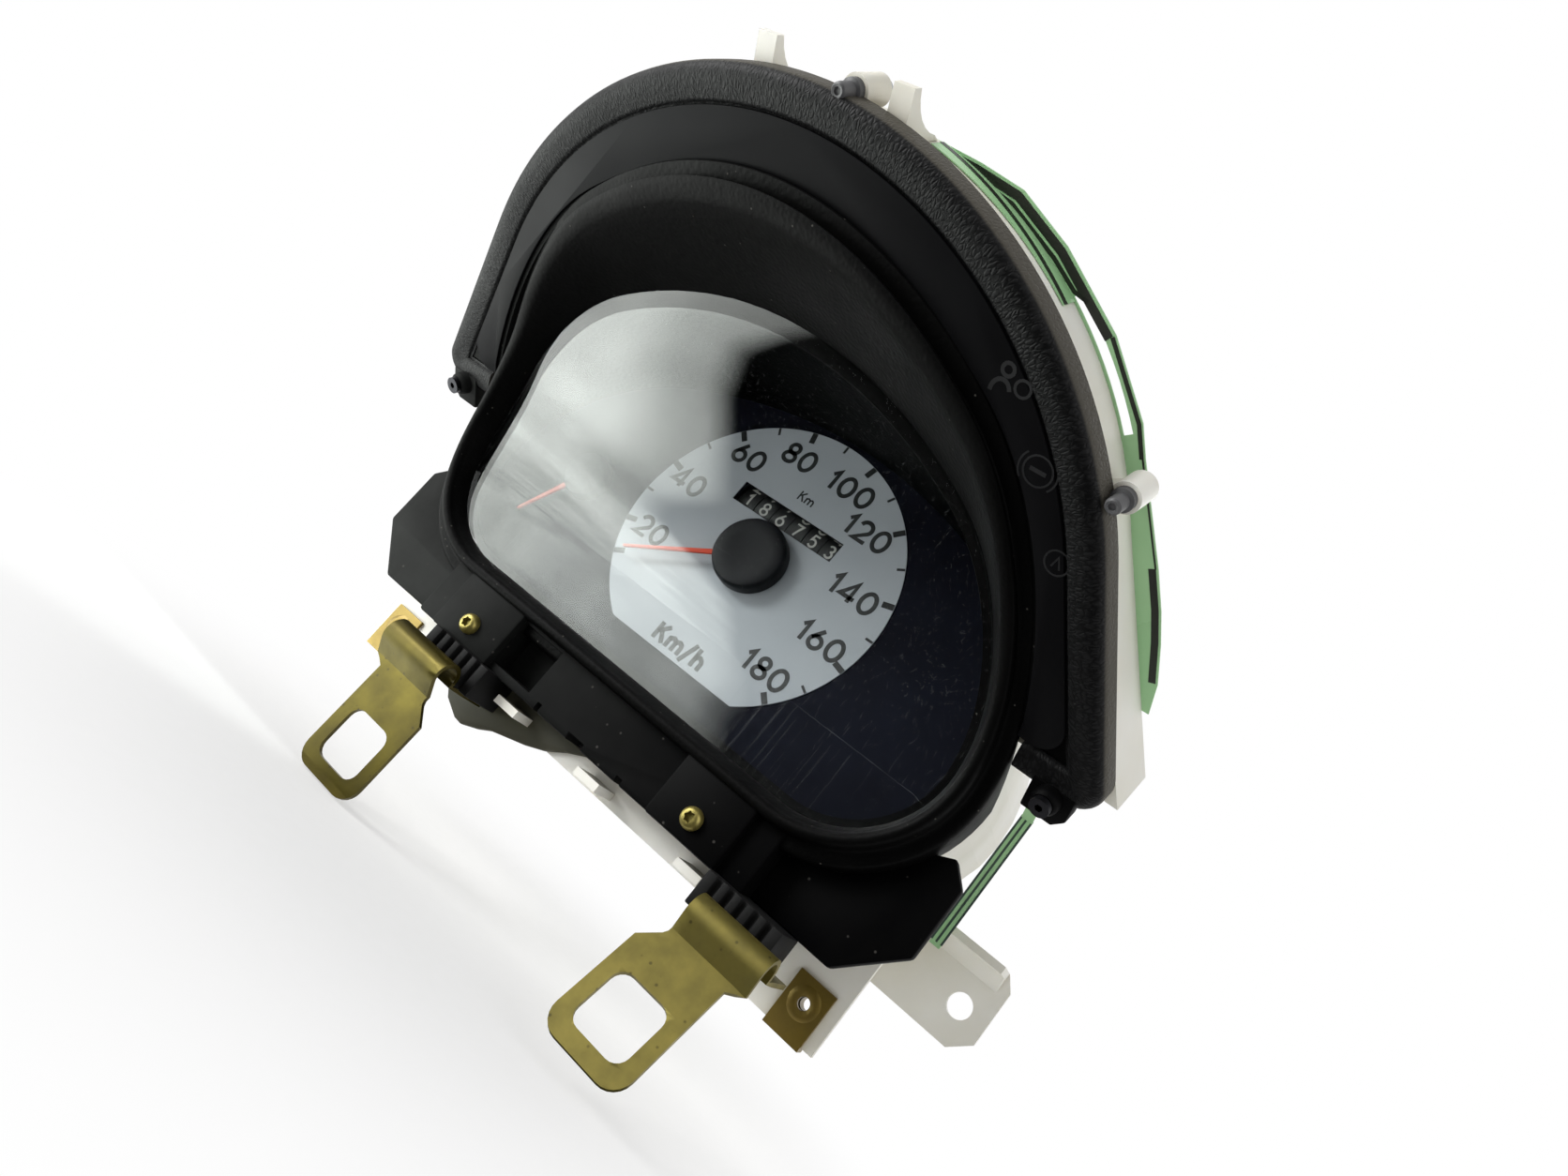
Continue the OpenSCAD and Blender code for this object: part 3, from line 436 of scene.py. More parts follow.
def makeMetal(name, dark, light, rough, patch=11.111, bare=1.0, pits=0.0):
    # bare or plated metal: bright, with a mottled tarnish, dark pits and fine marks left by the tool
    material, add, where = newMaterial(name)
    cloud = add("TexNoise", {"Vector": where, "Scale": perMetre(patch), "Detail": 5})
    tone = add("Mix", {0: cloud, 6: dark, 7: light}, colorMix)
    speck = add("TexVoronoi", {"Vector": where, "Scale": perMetre(3.0303)})
    pit = add("MapRange", {0: speck, 1: 0.08, 2: 0.16, 3: pits, 4: 0.0})
    stained = add("Mix", {0: pit, 6: tone, 7: "#2b2619"}, colorMix)
    gloss = add("MapRange", {0: cloud, 1: 0.3, 2: 0.7, 3: rough + 0.1, 4: rough - 0.06})
    fine = add("TexNoise", {"Vector": where, "Scale": perMetre(1.1111), "Detail": 2})  # drawn coarse
    bump = add("Bump", {"Strength": 0.12, "Distance": 0.0001, "Height": fine})
    return closeMaterial(material, add("BsdfPrincipled", {
        "Base Color": stained, "Roughness": gloss, "Normal": bump, "Metallic": bare}))  # a film may hide some metal


def makeIvory():
    # polypropylene moulded in ivory: waxy, a little yellowed, grime gathered in clouds, and painted shade in its
    # corners
    material, add, where = newMaterial("ivoryPolypropylene")
    cloud = add("TexNoise", {"Vector": where, "Scale": perMetre(45.455), "Detail": 6})
    aged = add("MapRange", {0: cloud, 1: 0.35, 2: 0.7, 3: 0.0, 4: 1.0})
    tone = add("Mix", {0: aged, 6: "#eeede6", 7: "#dedacb"}, colorMix)
    # painted shade: an ambient occlusion mask darkens corners and recesses with a brownish tone
    corner = add("AmbientOcclusion", {"Distance": 0.008}, {"samples": 4})
    paintedCornerShade = add("MapRange", {0: corner.outputs["AO"], 1: 0.2, 2: 0.7, 3: 0.55, 4: 0.0})
    cornerShaded = add("Mix", {0: paintedCornerShade, 6: tone, 7: "#9a8f74"}, colorMix)
    fine = add("TexNoise", {"Vector": where, "Scale": perMetre(1.42857), "Detail": 2})
    bump = add("Bump", {"Strength": 0.12, "Distance": 0.0001, "Height": fine})
    return closeMaterial(material, add("BsdfPrincipled", {
        "Base Color": cornerShaded, "Roughness": 0.42, "Normal": bump, "Subsurface Weight": 0.08,
        "Subsurface Radius": (0.002, 0.0016, 0.001)}))


grainedAbs = makeGrainedAbs()
pebbledAbs = makePebbledAbs()
dustyAbs = makeDustyAbs()
satinAbs = makeSatinAbs()
clearAcrylic = makeAcrylic()
ivoryPolypropylene = makeIvory()
blueBlackInk = makePainted("blueBlackScreenInk", "#0b0c15", "#141723", 0.5, relief=0.0, shine=0.05)  # dull night blue
paleInk = makePainted("paleGreyScreenInk", "#b4bac0", "#c6cbd0", 0.55, relief=0.0, shine=0.1)  # flat cool grey
blackInk = makePainted("blackScreenInk", "#101113", "#18191b", 0.5)  # soft black figures
whiteInk = makePainted("whiteScreenInk", "#cfcfc8", "#e4e3dc", 0.5)  # off-white figures
orangeEnamel = makePainted("orangeEnamel", "#d8432a", "#ee5a36", 0.38)  # warm signal orange, half gloss
capMoulding = makePainted("blackAcetal", "#0d0d11", "#16171b", 0.36, shine=0.15)  # smooth, waxy black
drumMoulding = makePainted("blackNylonDrum", "#141416", "#222224", 0.46)  # dry black
nylonGear = makePainted("whiteNylon", "#d6d2c4", "#ebe8de", 0.4)  # milky white
blockRubber = makePainted("mouldedRubber", "#060606", "#111111", 0.7, 8.3333, shine=0.2)  # dead black, no gloss
greenFilm = makePainted("greenPolyesterFilm", "#93c48e", "#afd8a6", 0.28, 25)  # pale green, slick
traceInk = makePainted("blackTraceLacquer", "#171a18", "#26291f", 0.34)  # dark conductors under lacquer
tailInk = makePainted("greenedInk", "#33423c", "#465a51", 0.5)  # the same, dulled by the film over it
lampGlass = makePainted("frostedLampGlass", "#cfd3d2", "#eceeec", 0.16)  # pale and shiny
magnetFerrite = makePainted("sinteredFerrite", "#2c2d30", "#45464a", 0.5, 3.3333)  # grainy dark grey
shadedCaseTone = makePainted("polypropyleneInPaintedShade", "#38372a", "#4c4a3a", 0.6, 25, shine=0.3)  # dark brown: painted shade under the strip
greyAbs = makePainted("weatheredAbs", "#343435", "#565658", 0.5)  # black gone grey
signGrey = makePainted("greySignInk", "#111113", "#19191b", 0.5, shine=0.3)  # hardly lighter than the cover
brightSteel = makeMetal("turnedSteel", "#8d9095", "#b9bcc0", 0.3)  # cool and bright
cupAluminium = makeMetal("spunAluminium", "#b4b6b9", "#d5d7da", 0.28)  # silvery
springBronze = makeMetal("springBronze", "#8f6a3c", "#b98d55", 0.3)  # reddish gold
frameCasting = makeMetal("zincCasting", "#85888c", "#a9acb0", 0.46)  # dull grey
gearBrass = makeMetal("cutBrass", "#a5843f", "#cfae66", 0.28)  # clean yellow
zincPlate = makeMetal("yellowZincPlate", "#4a4523", "#988b46", 0.42, 6.6667, 0.75, 0.6)  # olive gold, spotted
zincForKeyLight = makeMetal("yellowZincToneForKeyLight", "#2e280c", "#62581c", 0.34, 7.6923, 0.75, 0.6)  # the same zinc in a darker copy for the left bracket, toned against the key light on it: painted shade
screwZinc = makeMetal("yellowZincScrew", "#6a6030", "#bcae62", 0.32, 7.6923, 0.7)  # brassy heads
nutSteel = makeMetal("phosphatedSpringSteel", "#5c4c1d", "#957e38", 0.36, 6.25, 0.5)  # brown gold
blackSteel = makeMetal("blackenedSteel", "#19191b", "#3c3c40", 0.4)  # oily black
print("materials made:", len(bpy.data.materials))

# front moulding: hood ring, leather-grained roll, plates, strip and pads
moulding = {"slot": "black_plastic", "stands": ("front_bezel",)}
hoodProfile = [  # (grow, what the depth is measured from, offset), from the dial round the rim to the outside
    (2.0, "dial", -0.2), (1.6, "dial", -0.2), (1.6, "lens", 4.4), (-5.3, "lens", 4.3), (-5.5, "lens", 2.25),
    (-3.42, "lens", 2.15), (-3.3, "lens", -0.1), (-3.1, "lens", -1.2), (-2.7, "wall", 0.3), (-2.2, "wall", 0.6),
    (-1.75, "wall", 0.85), (-1.4, "rim", 1.7), (-1.15, "rim", 0.9), (-0.6, "rim", 0.3), (0.2, "rim", 0.0),
    (1.0, "rim", 0.12), (1.6, "rim", 0.6), (1.95, "rim", 1.5), (2.1, "rim", 3.0), (2.25, "rim", 4.2),
    (2.65, "rim", 4.85), (3.4, "rim", 5.08), (4.7, "rim", 5.15), (5.45, "rim", 5.5), (5.85, "rim", 6.2),
    (6.0, "rim", 7.4), (6.0, "root", 0.0)]
hoodSeat = {"lensLip": 1.2, "rimLip": 1.7, "rootDeep": 7.6, "archSink": 1.5, "plateSink": -6.5}


def hoodDepth(z, base, offset):
    if base == "dial":
        return offset
    if base == "lens":
        return lensY(z) + offset
    if base == "wall":  # a share of the way from the lens seat to the rim
        return (lensY(z) - hoodSeat["lensLip"]) * (1 - offset) + (rimY(z) + hoodSeat["rimLip"]) * offset
    if base == "root":  # sunk into the arch, or into the lower plate
        return max(rimY(z) + hoodSeat["rootDeep"], min(archY(z) + hoodSeat["archSink"], hoodSeat["plateSink"]))
    return rimY(z) + offset


hoodRows = []
for grow, base, offset in hoodProfile:
    hoodRows.append([onDial(x, hoodDepth(z, base, offset), z) for x, z in hoodOutline(grow)])
finishPiece(gridPiece("hood_ring", hoodRows, ring=True, tube=True), pebbledAbs, smooth=50, **moulding)

archRoll = {  # (grow, depth) round the section of the low roll and its skirt
    "section": [(0, 5), (0, 1.0), (-0.2, 0.1), (-0.6, -0.7), (-1.2, -1.35), (-2.0, -1.8), (-3.2, -2.05),
                (-4.6, -1.95), (-6.0, -1.65), (-7.2, -1.35), (-7.7, -1.15), (-7.95, -0.6), (-8.2, -0.35),
                (-8.7, -0.3), (-8.7, 2.9), (-2, 2.9), (-2, 5)],
    "cornerR": 6.5, "low": -14.5, "inner": 93.5,
}
rollPaths = []
for grow, depth in archRoll["section"]:
    rollPaths.append(archPath(grow, archRoll["cornerR"] + grow, archRoll["low"] - grow, archRoll["inner"]))
rollRows = []
for stop in zip(*rollPaths):
    rollRows.append([onArch(u, depth, v) for (u, v), (grow, depth) in zip(stop, archRoll["section"])])
finishPiece(gridPiece("arch_roll", rollRows, ring=True, caps=True), grainedAbs, smooth=50, **moulding)


def archPlate(name, plate):  # between the arch's edge and the hood, in the arch's own plane
    low = plate["low"]
    scale = math.cos(math.radians(archPlace["lean"]))
    ring = [(x, z / scale) for x, z in hoodOutline(plate["inner"])]
    right = [(x, v) for x, v in ring if v > low + 0.4 and x >= 0]
    edge = [(-right[0][0], low)] + [(-x, v) for x, v in right if x > 0.01]
    edge += list(reversed(right)) + [(right[0][0], low)]
    outline = archPath(plate["edge"], plate["cornerR"], low, right[0][0] + 0.6) + edge
    return platePiece(name, [onArch(u, plate["front"], v) for u, v in outline], archPush(plate["thick"]),
                      plate["rounding"])


archFloor = {"front": 0.1, "thick": 2.9, "edge": -8.2, "cornerR": 1.0, "low": -6.2, "inner": 5.6, "rounding": 0.0}
finishPiece(archPlate("arch_floor", archFloor), dustyAbs, **moulding)

lowerPlate = {"front": -10.0, "thick": 4.0, "inner": 5.6, "top": -32, "rounding": 0.7,
              "corners": [(94.6, -32), (99.6, -37), (99.6, -55.5), (86.1, -69)]}
ringRight = [p for p in hoodOutline(lowerPlate["inner"]) if p[0] >= 0 and p[1] < lowerPlate["top"]]
outline = [(-x, z) for x, z in reversed(ringRight[1:])] + ringRight  # left top down round the bottom to right top
outline += lowerPlate["corners"] + [(-x, z) for x, z in reversed(lowerPlate["corners"])]
finishPiece(dialPlate("lower_plate", outline, lowerPlate), dustyAbs, **moulding)

strip = {"half": 62.0, "face": -18.0, "back": -6.2, "low": -69.3, "high": -50.8, "rounding": 0.8,
         "padX": 42.6, "padHalf": 11.5, "padFace": -20.5, "padBack": -10, "padTop": -51.5, "padRounding": 0.9,
         "cuts": [((-31, -19, -66.8), (-16, -7, -53.5)), ((-58, -14, -66.5), (58, -2, -56.5)),
                  ((-12, -19, -70), (-10.4, -2, -66.9)), ((0.7, -19, -70), (6.5, -2, -67.4)),
                  ((19, -19, -70), (21, -2, -67.6))]}
stripBar = boxPiece("screw_strip", onDial(-strip["half"], strip["face"], strip["low"]),
                    onDial(strip["half"], strip["back"], strip["high"]), strip["rounding"])
cutPiece(stripBar, *[boxPiece("cut", onDial(*low), onDial(*high)) for low, high in strip["cuts"]])
finishPiece(stripBar, dustyAbs, **moulding)
for side, name in ((1, "right_pad"), (-1, "left_pad")):
    x = side * strip["padX"]
    pad = boxPiece(name, onDial(x - strip["padHalf"], strip["padFace"], strip["low"]),
                   onDial(x + strip["padHalf"], strip["padBack"], strip["padTop"]), strip["padRounding"])
    finishPiece(pad, dustyAbs, **moulding)

bosses = {"u": 104.0, "v": -14.0, "steps": 28, "shelfFront": -2.4, "shelfThick": 5.2, "shelfRounding": 0.5,
          "section": [(1.4, -5.4), (2.6, -5.4), (3.1, -4.9), (3.3, -4.0), (3.3, 3.0), (1.3, 3.0), (1.3, -4.9),
                      (1.4, -5.4)],
          "shelf": [(99, -11), (109.5, -11), (109.5, -17.5), (107, -20.5), (99, -20.5)]}
for side, name in ((1, "right_boss"), (-1, "left_boss")):
    boss = turnedPiece(name, bosses["section"], spot(onArch, side * bosses["u"], 0, bosses["v"]), bosses["steps"])
    finishPiece(boss, dustyAbs, **moulding)
    shelf = platePiece(name + "_shelf", [onArch(side * u, bosses["shelfFront"], v) for u, v in bosses["shelf"]],
                       archPush(bosses["shelfThick"]), bosses["shelfRounding"])
    finishPiece(shelf, dustyAbs, **moulding)

posts = {"places": {"top_post": (7.4, 101.0), "side_post": (89.15, 52.55)}, "steps": 24,
         "section": [(0, -0.3), (0.7, -0.3), (0.8, -0.8), (1.3, -0.9), (1.7, -0.5), (1.8, 0.2), (1.8, 3.0),
                     (2.5, 3.4), (2.5, 5), (0, 5)]}
for name, (u, v) in posts["places"].items():
    post = turnedPiece(name, posts["section"], spot(onArch, u, 0, v), posts["steps"])
    finishPiece(post, greyAbs, **moulding)
print("front moulding made")

# telltale cover
crescent = {"front": -1.05, "thick": 1.1, "edge": -8.5, "cornerR": 6.0, "low": -5.8, "inner": 6.4, "rounding": 0.35}
cover = archPlate("telltale_cover", crescent)
finishPiece(cover, satinAbs, slot="crescent_plastic", stands=("telltale_crescent",))

# lens: a sheet that follows the swept depth, closed at its middle, then given its thickness
lensSheet = {"grow": -3.42, "thick": 2.0, "rings": 22, "middle": -4.0}
edgeLine = hoodOutline(lensSheet["grow"])
around = len(edgeLine)
lensPoints = [onDial(0, lensY(lensSheet["middle"]), lensSheet["middle"])]
lensFaces = [(0, 1 + j, 1 + (j + 1) % around) for j in range(around)]
for k in range(1, lensSheet["rings"] + 1):
    t = k / lensSheet["rings"]
    for x, z in edgeLine:
        z2 = lensSheet["middle"] + (z - lensSheet["middle"]) * t
        lensPoints.append(onDial(x * t, lensY(z2), z2))
    if k > 1:
        start = 1 + (k - 2) * around
        for j in range(around):
            j2 = (j + 1) % around
            lensFaces.append((start + j, start + around + j, start + around + j2, start + j2))
lensPane = tidyNormals(meshPiece("lens_pane", lensPoints, lensFaces))
if lensPane.data.polygons[0].normal.y > 0:
    lensPane.data.flip_normals()
applyMod(lensPane, "SOLIDIFY", thickness=lensSheet["thick"] * mm, offset=-1.0)
finishPiece(lensPane, clearAcrylic, slot="clear_lens", stands=("lens",), smooth=50)
print("lens made")

# printed figures, drawn as strokes of one width
glyphs = {  # width, then strokes in a box one high
    "0": (0.72, [bow(0.36, 0.5, 0.29, 0.43, 0, 360, 28)]),
    "1": (0.36, [[(0.02, 0.70), (0.23, 0.93), (0.23, 0.07)]]),
    "2": (0.66, [bow(0.33, 0.66, 0.26, 0.27, 168, -38, 14) + [(0.07, 0.07), (0.63, 0.07)]]),
    "3": (0.62, [bow(0.29, 0.71, 0.22, 0.22, 150, -80, 12), bow(0.29, 0.30, 0.25, 0.23, 90, -150, 14)]),
    "4": (0.72, [[(0.50, 0.07), (0.50, 0.93), (0.05, 0.28), (0.69, 0.28)]]),
    "5": (0.64, [[(0.57, 0.93), (0.20, 0.93), (0.14, 0.55)] + bow(0.31, 0.34, 0.26, 0.27, 118, -145, 14)]),
    "6": (0.66, [bow(0.33, 0.33, 0.26, 0.26, 0, 360, 24), [(0.10, 0.44), (0.43, 0.93)]]),
    "7": (0.62, [[(0.05, 0.93), (0.57, 0.93), (0.22, 0.07)]]),
    "8": (0.66, [bow(0.33, 0.72, 0.21, 0.21, 0, 360, 22), bow(0.33, 0.29, 0.26, 0.22, 0, 360, 24)]),
    "9": (0.66, [bow(0.33, 0.67, 0.26, 0.26, 0, 360, 24), [(0.56, 0.56), (0.23, 0.07)]]),
    "K": (0.62, [[(0.08, 0.07), (0.08, 0.93)], [(0.56, 0.93), (0.10, 0.46)], [(0.26, 0.60), (0.60, 0.07)]]),
    "m": (0.88, [[(0.08, 0.07), (0.08, 0.62)],
                 [(0.08, 0.44), (0.14, 0.56), (0.26, 0.62), (0.38, 0.56), (0.44, 0.44), (0.44, 0.07)],
                 [(0.44, 0.44), (0.50, 0.56), (0.62, 0.62), (0.74, 0.56), (0.80, 0.44), (0.80, 0.07)]]),
    "h": (0.56, [[(0.08, 0.07), (0.08, 0.97)],
                 [(0.08, 0.42), (0.15, 0.55), (0.28, 0.62), (0.41, 0.55), (0.48, 0.42), (0.48, 0.07)]]),
    "/": (0.42, [[(0.02, -0.06), (0.40, 1.02)]]),
}


def wordStrokes(word, height, gap=0.12, stretch=1.0):  # strokes of a word, centred, in mm
    wide = sum(glyphs[c][0] for c in word) + gap * (len(word) - 1)
    at = -wide / 2
    strokes = []
    for c in word:
        for line in glyphs[c][1]:
            strokes.append([((at + x) * height * stretch, (y - 0.5) * height) for x, y in line])
        at += glyphs[c][0] + gap
    return strokes


def splitLine(line, step):  # extra points, so that a stroke can follow a curved face
    points = [line[0]]
    for a, b in zip(line, line[1:]):
        count = max(1, math.ceil(math.dist(a, b) / step))
        points += [(a[0] + (b[0] - a[0]) * k / count, a[1] + (b[1] - a[1]) * k / count) for k in range(1, count + 1)]
    return points


def strokePiece(name, strokes, place, thick=0.05):  # each stroke is (points, width); place takes flat mm to the frame
    points = []
    faces = []
    for line, width in strokes:
        closed = len(line) > 3 and math.dist(line[0], line[-1]) < 1e-6
        run = line[:-1] if closed else line
        count = len(run)
        first = len(points)
        for i, (x, y) in enumerate(run):
            before = run[i - 1] if i > 0 or closed else run[i]
            after = run[(i + 1) % count] if i < count - 1 or closed else run[i]
            a = Vector((x - before[0], y - before[1]))
            b = Vector((after[0] - x, after[1] - y))
            a = a.normalized() if a.length > 1e-9 else b.normalized()
            b = b.normalized() if b.length > 1e-9 else a
            side = Vector((-(a.y + b.y), a.x + b.x)).normalized()
            spread = width / 2 / max(0.45, side.dot(Vector((-a.y, a.x))))  # a sharp corner isn't drawn to its point
            points.append(place(x + side.x * spread, y + side.y * spread))
            points.append(place(x - side.x * spread, y - side.y * spread))
        for i in range(count if closed else count - 1):
            k = first + 2 * i
            n = first + 2 * ((i + 1) % count)
            faces.append((k, k + 1, n + 1, n))
    return applyMod(meshPiece(name, points, faces), "SOLIDIFY", thickness=thick * mm, offset=0)


signs = {  # unlit warning signs, only just to be seen: a head and a ball, a ring in brackets, a ring with a wedge
    "face": -1.07,
    "strokes": [(bow(60.5, 67.2, 1.3, 1.3, 0, 360, 16), 0.8), (bow(60.2, 62.4, 2.1, 2.6, 20, 190, 10), 0.9),
                (bow(64.6, 65.0, 1.7, 1.7, 0, 360, 16), 0.6), (bow(73.4, 51.7, 3.2, 3.2, 0, 360, 24), 0.4),
                (bow(73.4, 51.7, 4.3, 4.3, -42, 42, 10), 0.4), (bow(73.4, 51.7, 4.3, 4.3, 138, 222, 10), 0.4),
                ([(71.6, 51.7), (75.2, 51.7)], 0.9), (bow(84.1, 36.4, 2.7, 2.7, 0, 360, 22), 0.4),
                ([(83.2, 35.2), (84.1, 37.8), (85.1, 35.2)], 0.4)],
}
warning = strokePiece("telltale_signs", signs["strokes"], lambda u, v: onArch(u, signs["face"], v))
finishPiece(warning, signGrey, slot="crescent_plastic")

# dial print
dialPrint = {
    "face": -0.44, "height": 6.9, "stroke": 1.25, "gap": 0.13, "stretch": 1.05,
    "figures": {"20": (-31.7, -10.1), "40": (-33.3, 8.5), "60": (-23.1, 24.7), "80": (-9.9, 32.7), "100": (9.3, 32.5),
                "120": (21.9, 24.3), "140": (30.0, 8.1), "160": (31.4, -7.7), "180": (24.4, -23.1)},
    "marks": 18, "zero": -135, "step": 15, "outer": 42.9, "broad": (39.5, 1.7), "fine": (40.6, 0.75),
    "units": [("Km", (0.5, 23.3), 3.4, 0.1, 0.5), ("Km/h", (0, -31.9), 6.2, 0.14, 1.35)],  # height, gap, stroke
    "fuelMark": ([(-49.2, -12.0), (-46.8, -12.6)], 1.3),
}
printed = []
for word, (cx, cz) in dialPrint["figures"].items():
    for line in wordStrokes(word, dialPrint["height"], dialPrint["gap"], dialPrint["stretch"]):
        printed.append(([(cx + x, cz + z) for x, z in line], dialPrint["stroke"]))
for k in range(1, dialPrint["marks"] + 1):  # a mark every 10, broad at the even twenties
    a = math.radians(dialPrint["zero"] + dialPrint["step"] * k)
    start, wide = dialPrint["broad" if k % 2 == 0 or k == 1 else "fine"]
    printed.append(([(r * math.sin(a), r * math.cos(a)) for r in (start, dialPrint["outer"])], wide))
for word, (cx, cz), height, gap, stroke in dialPrint["units"]:
    for line in wordStrokes(word, height, gap):
        printed.append(([(cx + x, cz + z) for x, z in line], stroke))
printed.append(dialPrint["fuelMark"])
figures = strokePiece("dial_figures", printed, lambda x, z: onDial(x, dialPrint["face"], z))
finishPiece(figures, blackInk, slot="dial_print")
faceNode("dial_plate", blueBlackInk)
faceNode("dial_face", paleInk)
print("dial printed")

# odometer: each drum carries its own ring of figures
odometer = {"axisY": 10.5, "axisZ": 14.9, "r": 8.03, "left": -18.4, "pitch": 6.1333, "height": 4.3, "stroke": 0.62,
            "split": 0.5, "reading": "186753"}
for n, shown in enumerate(odometer["reading"]):
    drum = str(n + 1)
    middle = odometer["left"] + odometer["pitch"] * (n + 0.5)
    strokes = []
    for digit in range(10):
        lift = (digit - int(shown)) * math.radians(36) * odometer["r"]
        for line in wordStrokes(str(digit), odometer["height"]):
            strokes.append(([(x, z + lift) for x, z in splitLine(line, odometer["split"])], odometer["stroke"]))

    def onDrum(x, s, middle=middle):
        a = s / odometer["r"]
        return onDial(middle + x, odometer["axisY"] - odometer["r"] * math.cos(a),
                      odometer["axisZ"] + odometer["r"] * math.sin(a))
    finishPiece(strokePiece("drum_figures_" + drum, strokes, onDrum), whiteInk, "drum_" + drum, slot="dial_print")
    faceNode("odometer_drum_" + drum, drumMoulding)
print("odometer made")

# hands and their hubs
handBlade = {"wide": 1.5, "tip": 0.8, "nose": 0.6, "front": -4.5, "thick": 1.0, "rounding": 0.22}
hands = {
    "speed": {"x": 0, "z": 0, "angle": -120.0, "from": 10.4, "to": 38.5, "hubSteps": 56,
              "hub": [(0, -5.6), (6.5, -5.75), (9.4, -6.0), (10.2, -5.8), (10.7, -5.2), (10.9, -4.4), (10.9, -1.5),
                      (0, -1.5)], "pointer": "speed_pointer", "cap": "pointer_cap"},
    "fuel": {"x": -60, "z": -8.5, "angle": -153.0, "from": 7.1, "to": 23.5, "hubSteps": 44,
             "hub": [(0, -4.8), (4.5, -4.85), (6.4, -5.0), (7.1, -4.7), (7.5, -4.0), (7.5, -1.5), (0, -1.5)],
             "pointer": "fuel_pointer", "cap": "fuel_cap"},
}
for name, hand in hands.items():
    a = math.radians(hand["angle"])
    start, end, wide, tip = hand["from"], hand["to"], handBlade["wide"], handBlade["tip"]
    right = [(start, wide / 2), (end - handBlade["nose"], tip / 2), (end, tip / 4)]
    blade = [(r, -w) for r, w in right] + right[::-1]
    outline = [(hand["x"] + math.sin(a) * r + math.cos(a) * w, hand["z"] + math.cos(a) * r - math.sin(a) * w)
               for r, w in blade]
    pointer = dialPlate(name + "_hand", outline, handBlade)
    finishPiece(pointer, orangeEnamel, name + "_hand", "pointer_orange", (hand["pointer"],))
    hub = turnedPiece(name + "_hub", hand["hub"], spot(onDial, hand["x"], 0, hand["z"]), hand["hubSteps"])
    finishPiece(hub, capMoulding, name + "_hand", "cap_black", (hand["cap"],))
print("hands made")

# brackets, each a sheet over a bead and down to its loop, and their rubber blocks
bracket = {"right": (65.7, 30.0, 1), "left": (-38.0, 3.0, -1), "thick": 1.2, "rounding": 0.2, "half": 11.25,
           "tang": (-8.1, -14, -19), "tangZ": -78.6, "beadY": -27.6, "beadZ": -77.4, "beadR": 3.9, "beadSteps": 22,
           "beadStart": -18, "beadStop": 46, "neck": [6.2, 7.4, 8.6, 9.8, 11.2, 12.8, 15, 19.4, 24, 29], "across": 8,
           "loop": 38.6, "endR": 5.0, "endSteps": 6, "hole": 15.0, "holeTop": 19.4, "holeR": 3.3,
           "shift": 4.6, "innerFrom": 8.0, "innerRun": 4.8, "outerFrom": 6.2, "outerRun": 2.4, "outerLess": 0.6}
rubber = {"half": 11.25, "front": -23.0, "back": -8.0, "top": -68.95, "tall": 9.0, "ribs": 5, "rounding": 0.35,
          "slotTop": 0.9, "slotFoot": 0.6, "slotDeep": 1.5}


def fadeOut(r, start, run):  # 1 up to the start, 0 after the run
    return max(0, min(1, 1 - (r - start) / run))


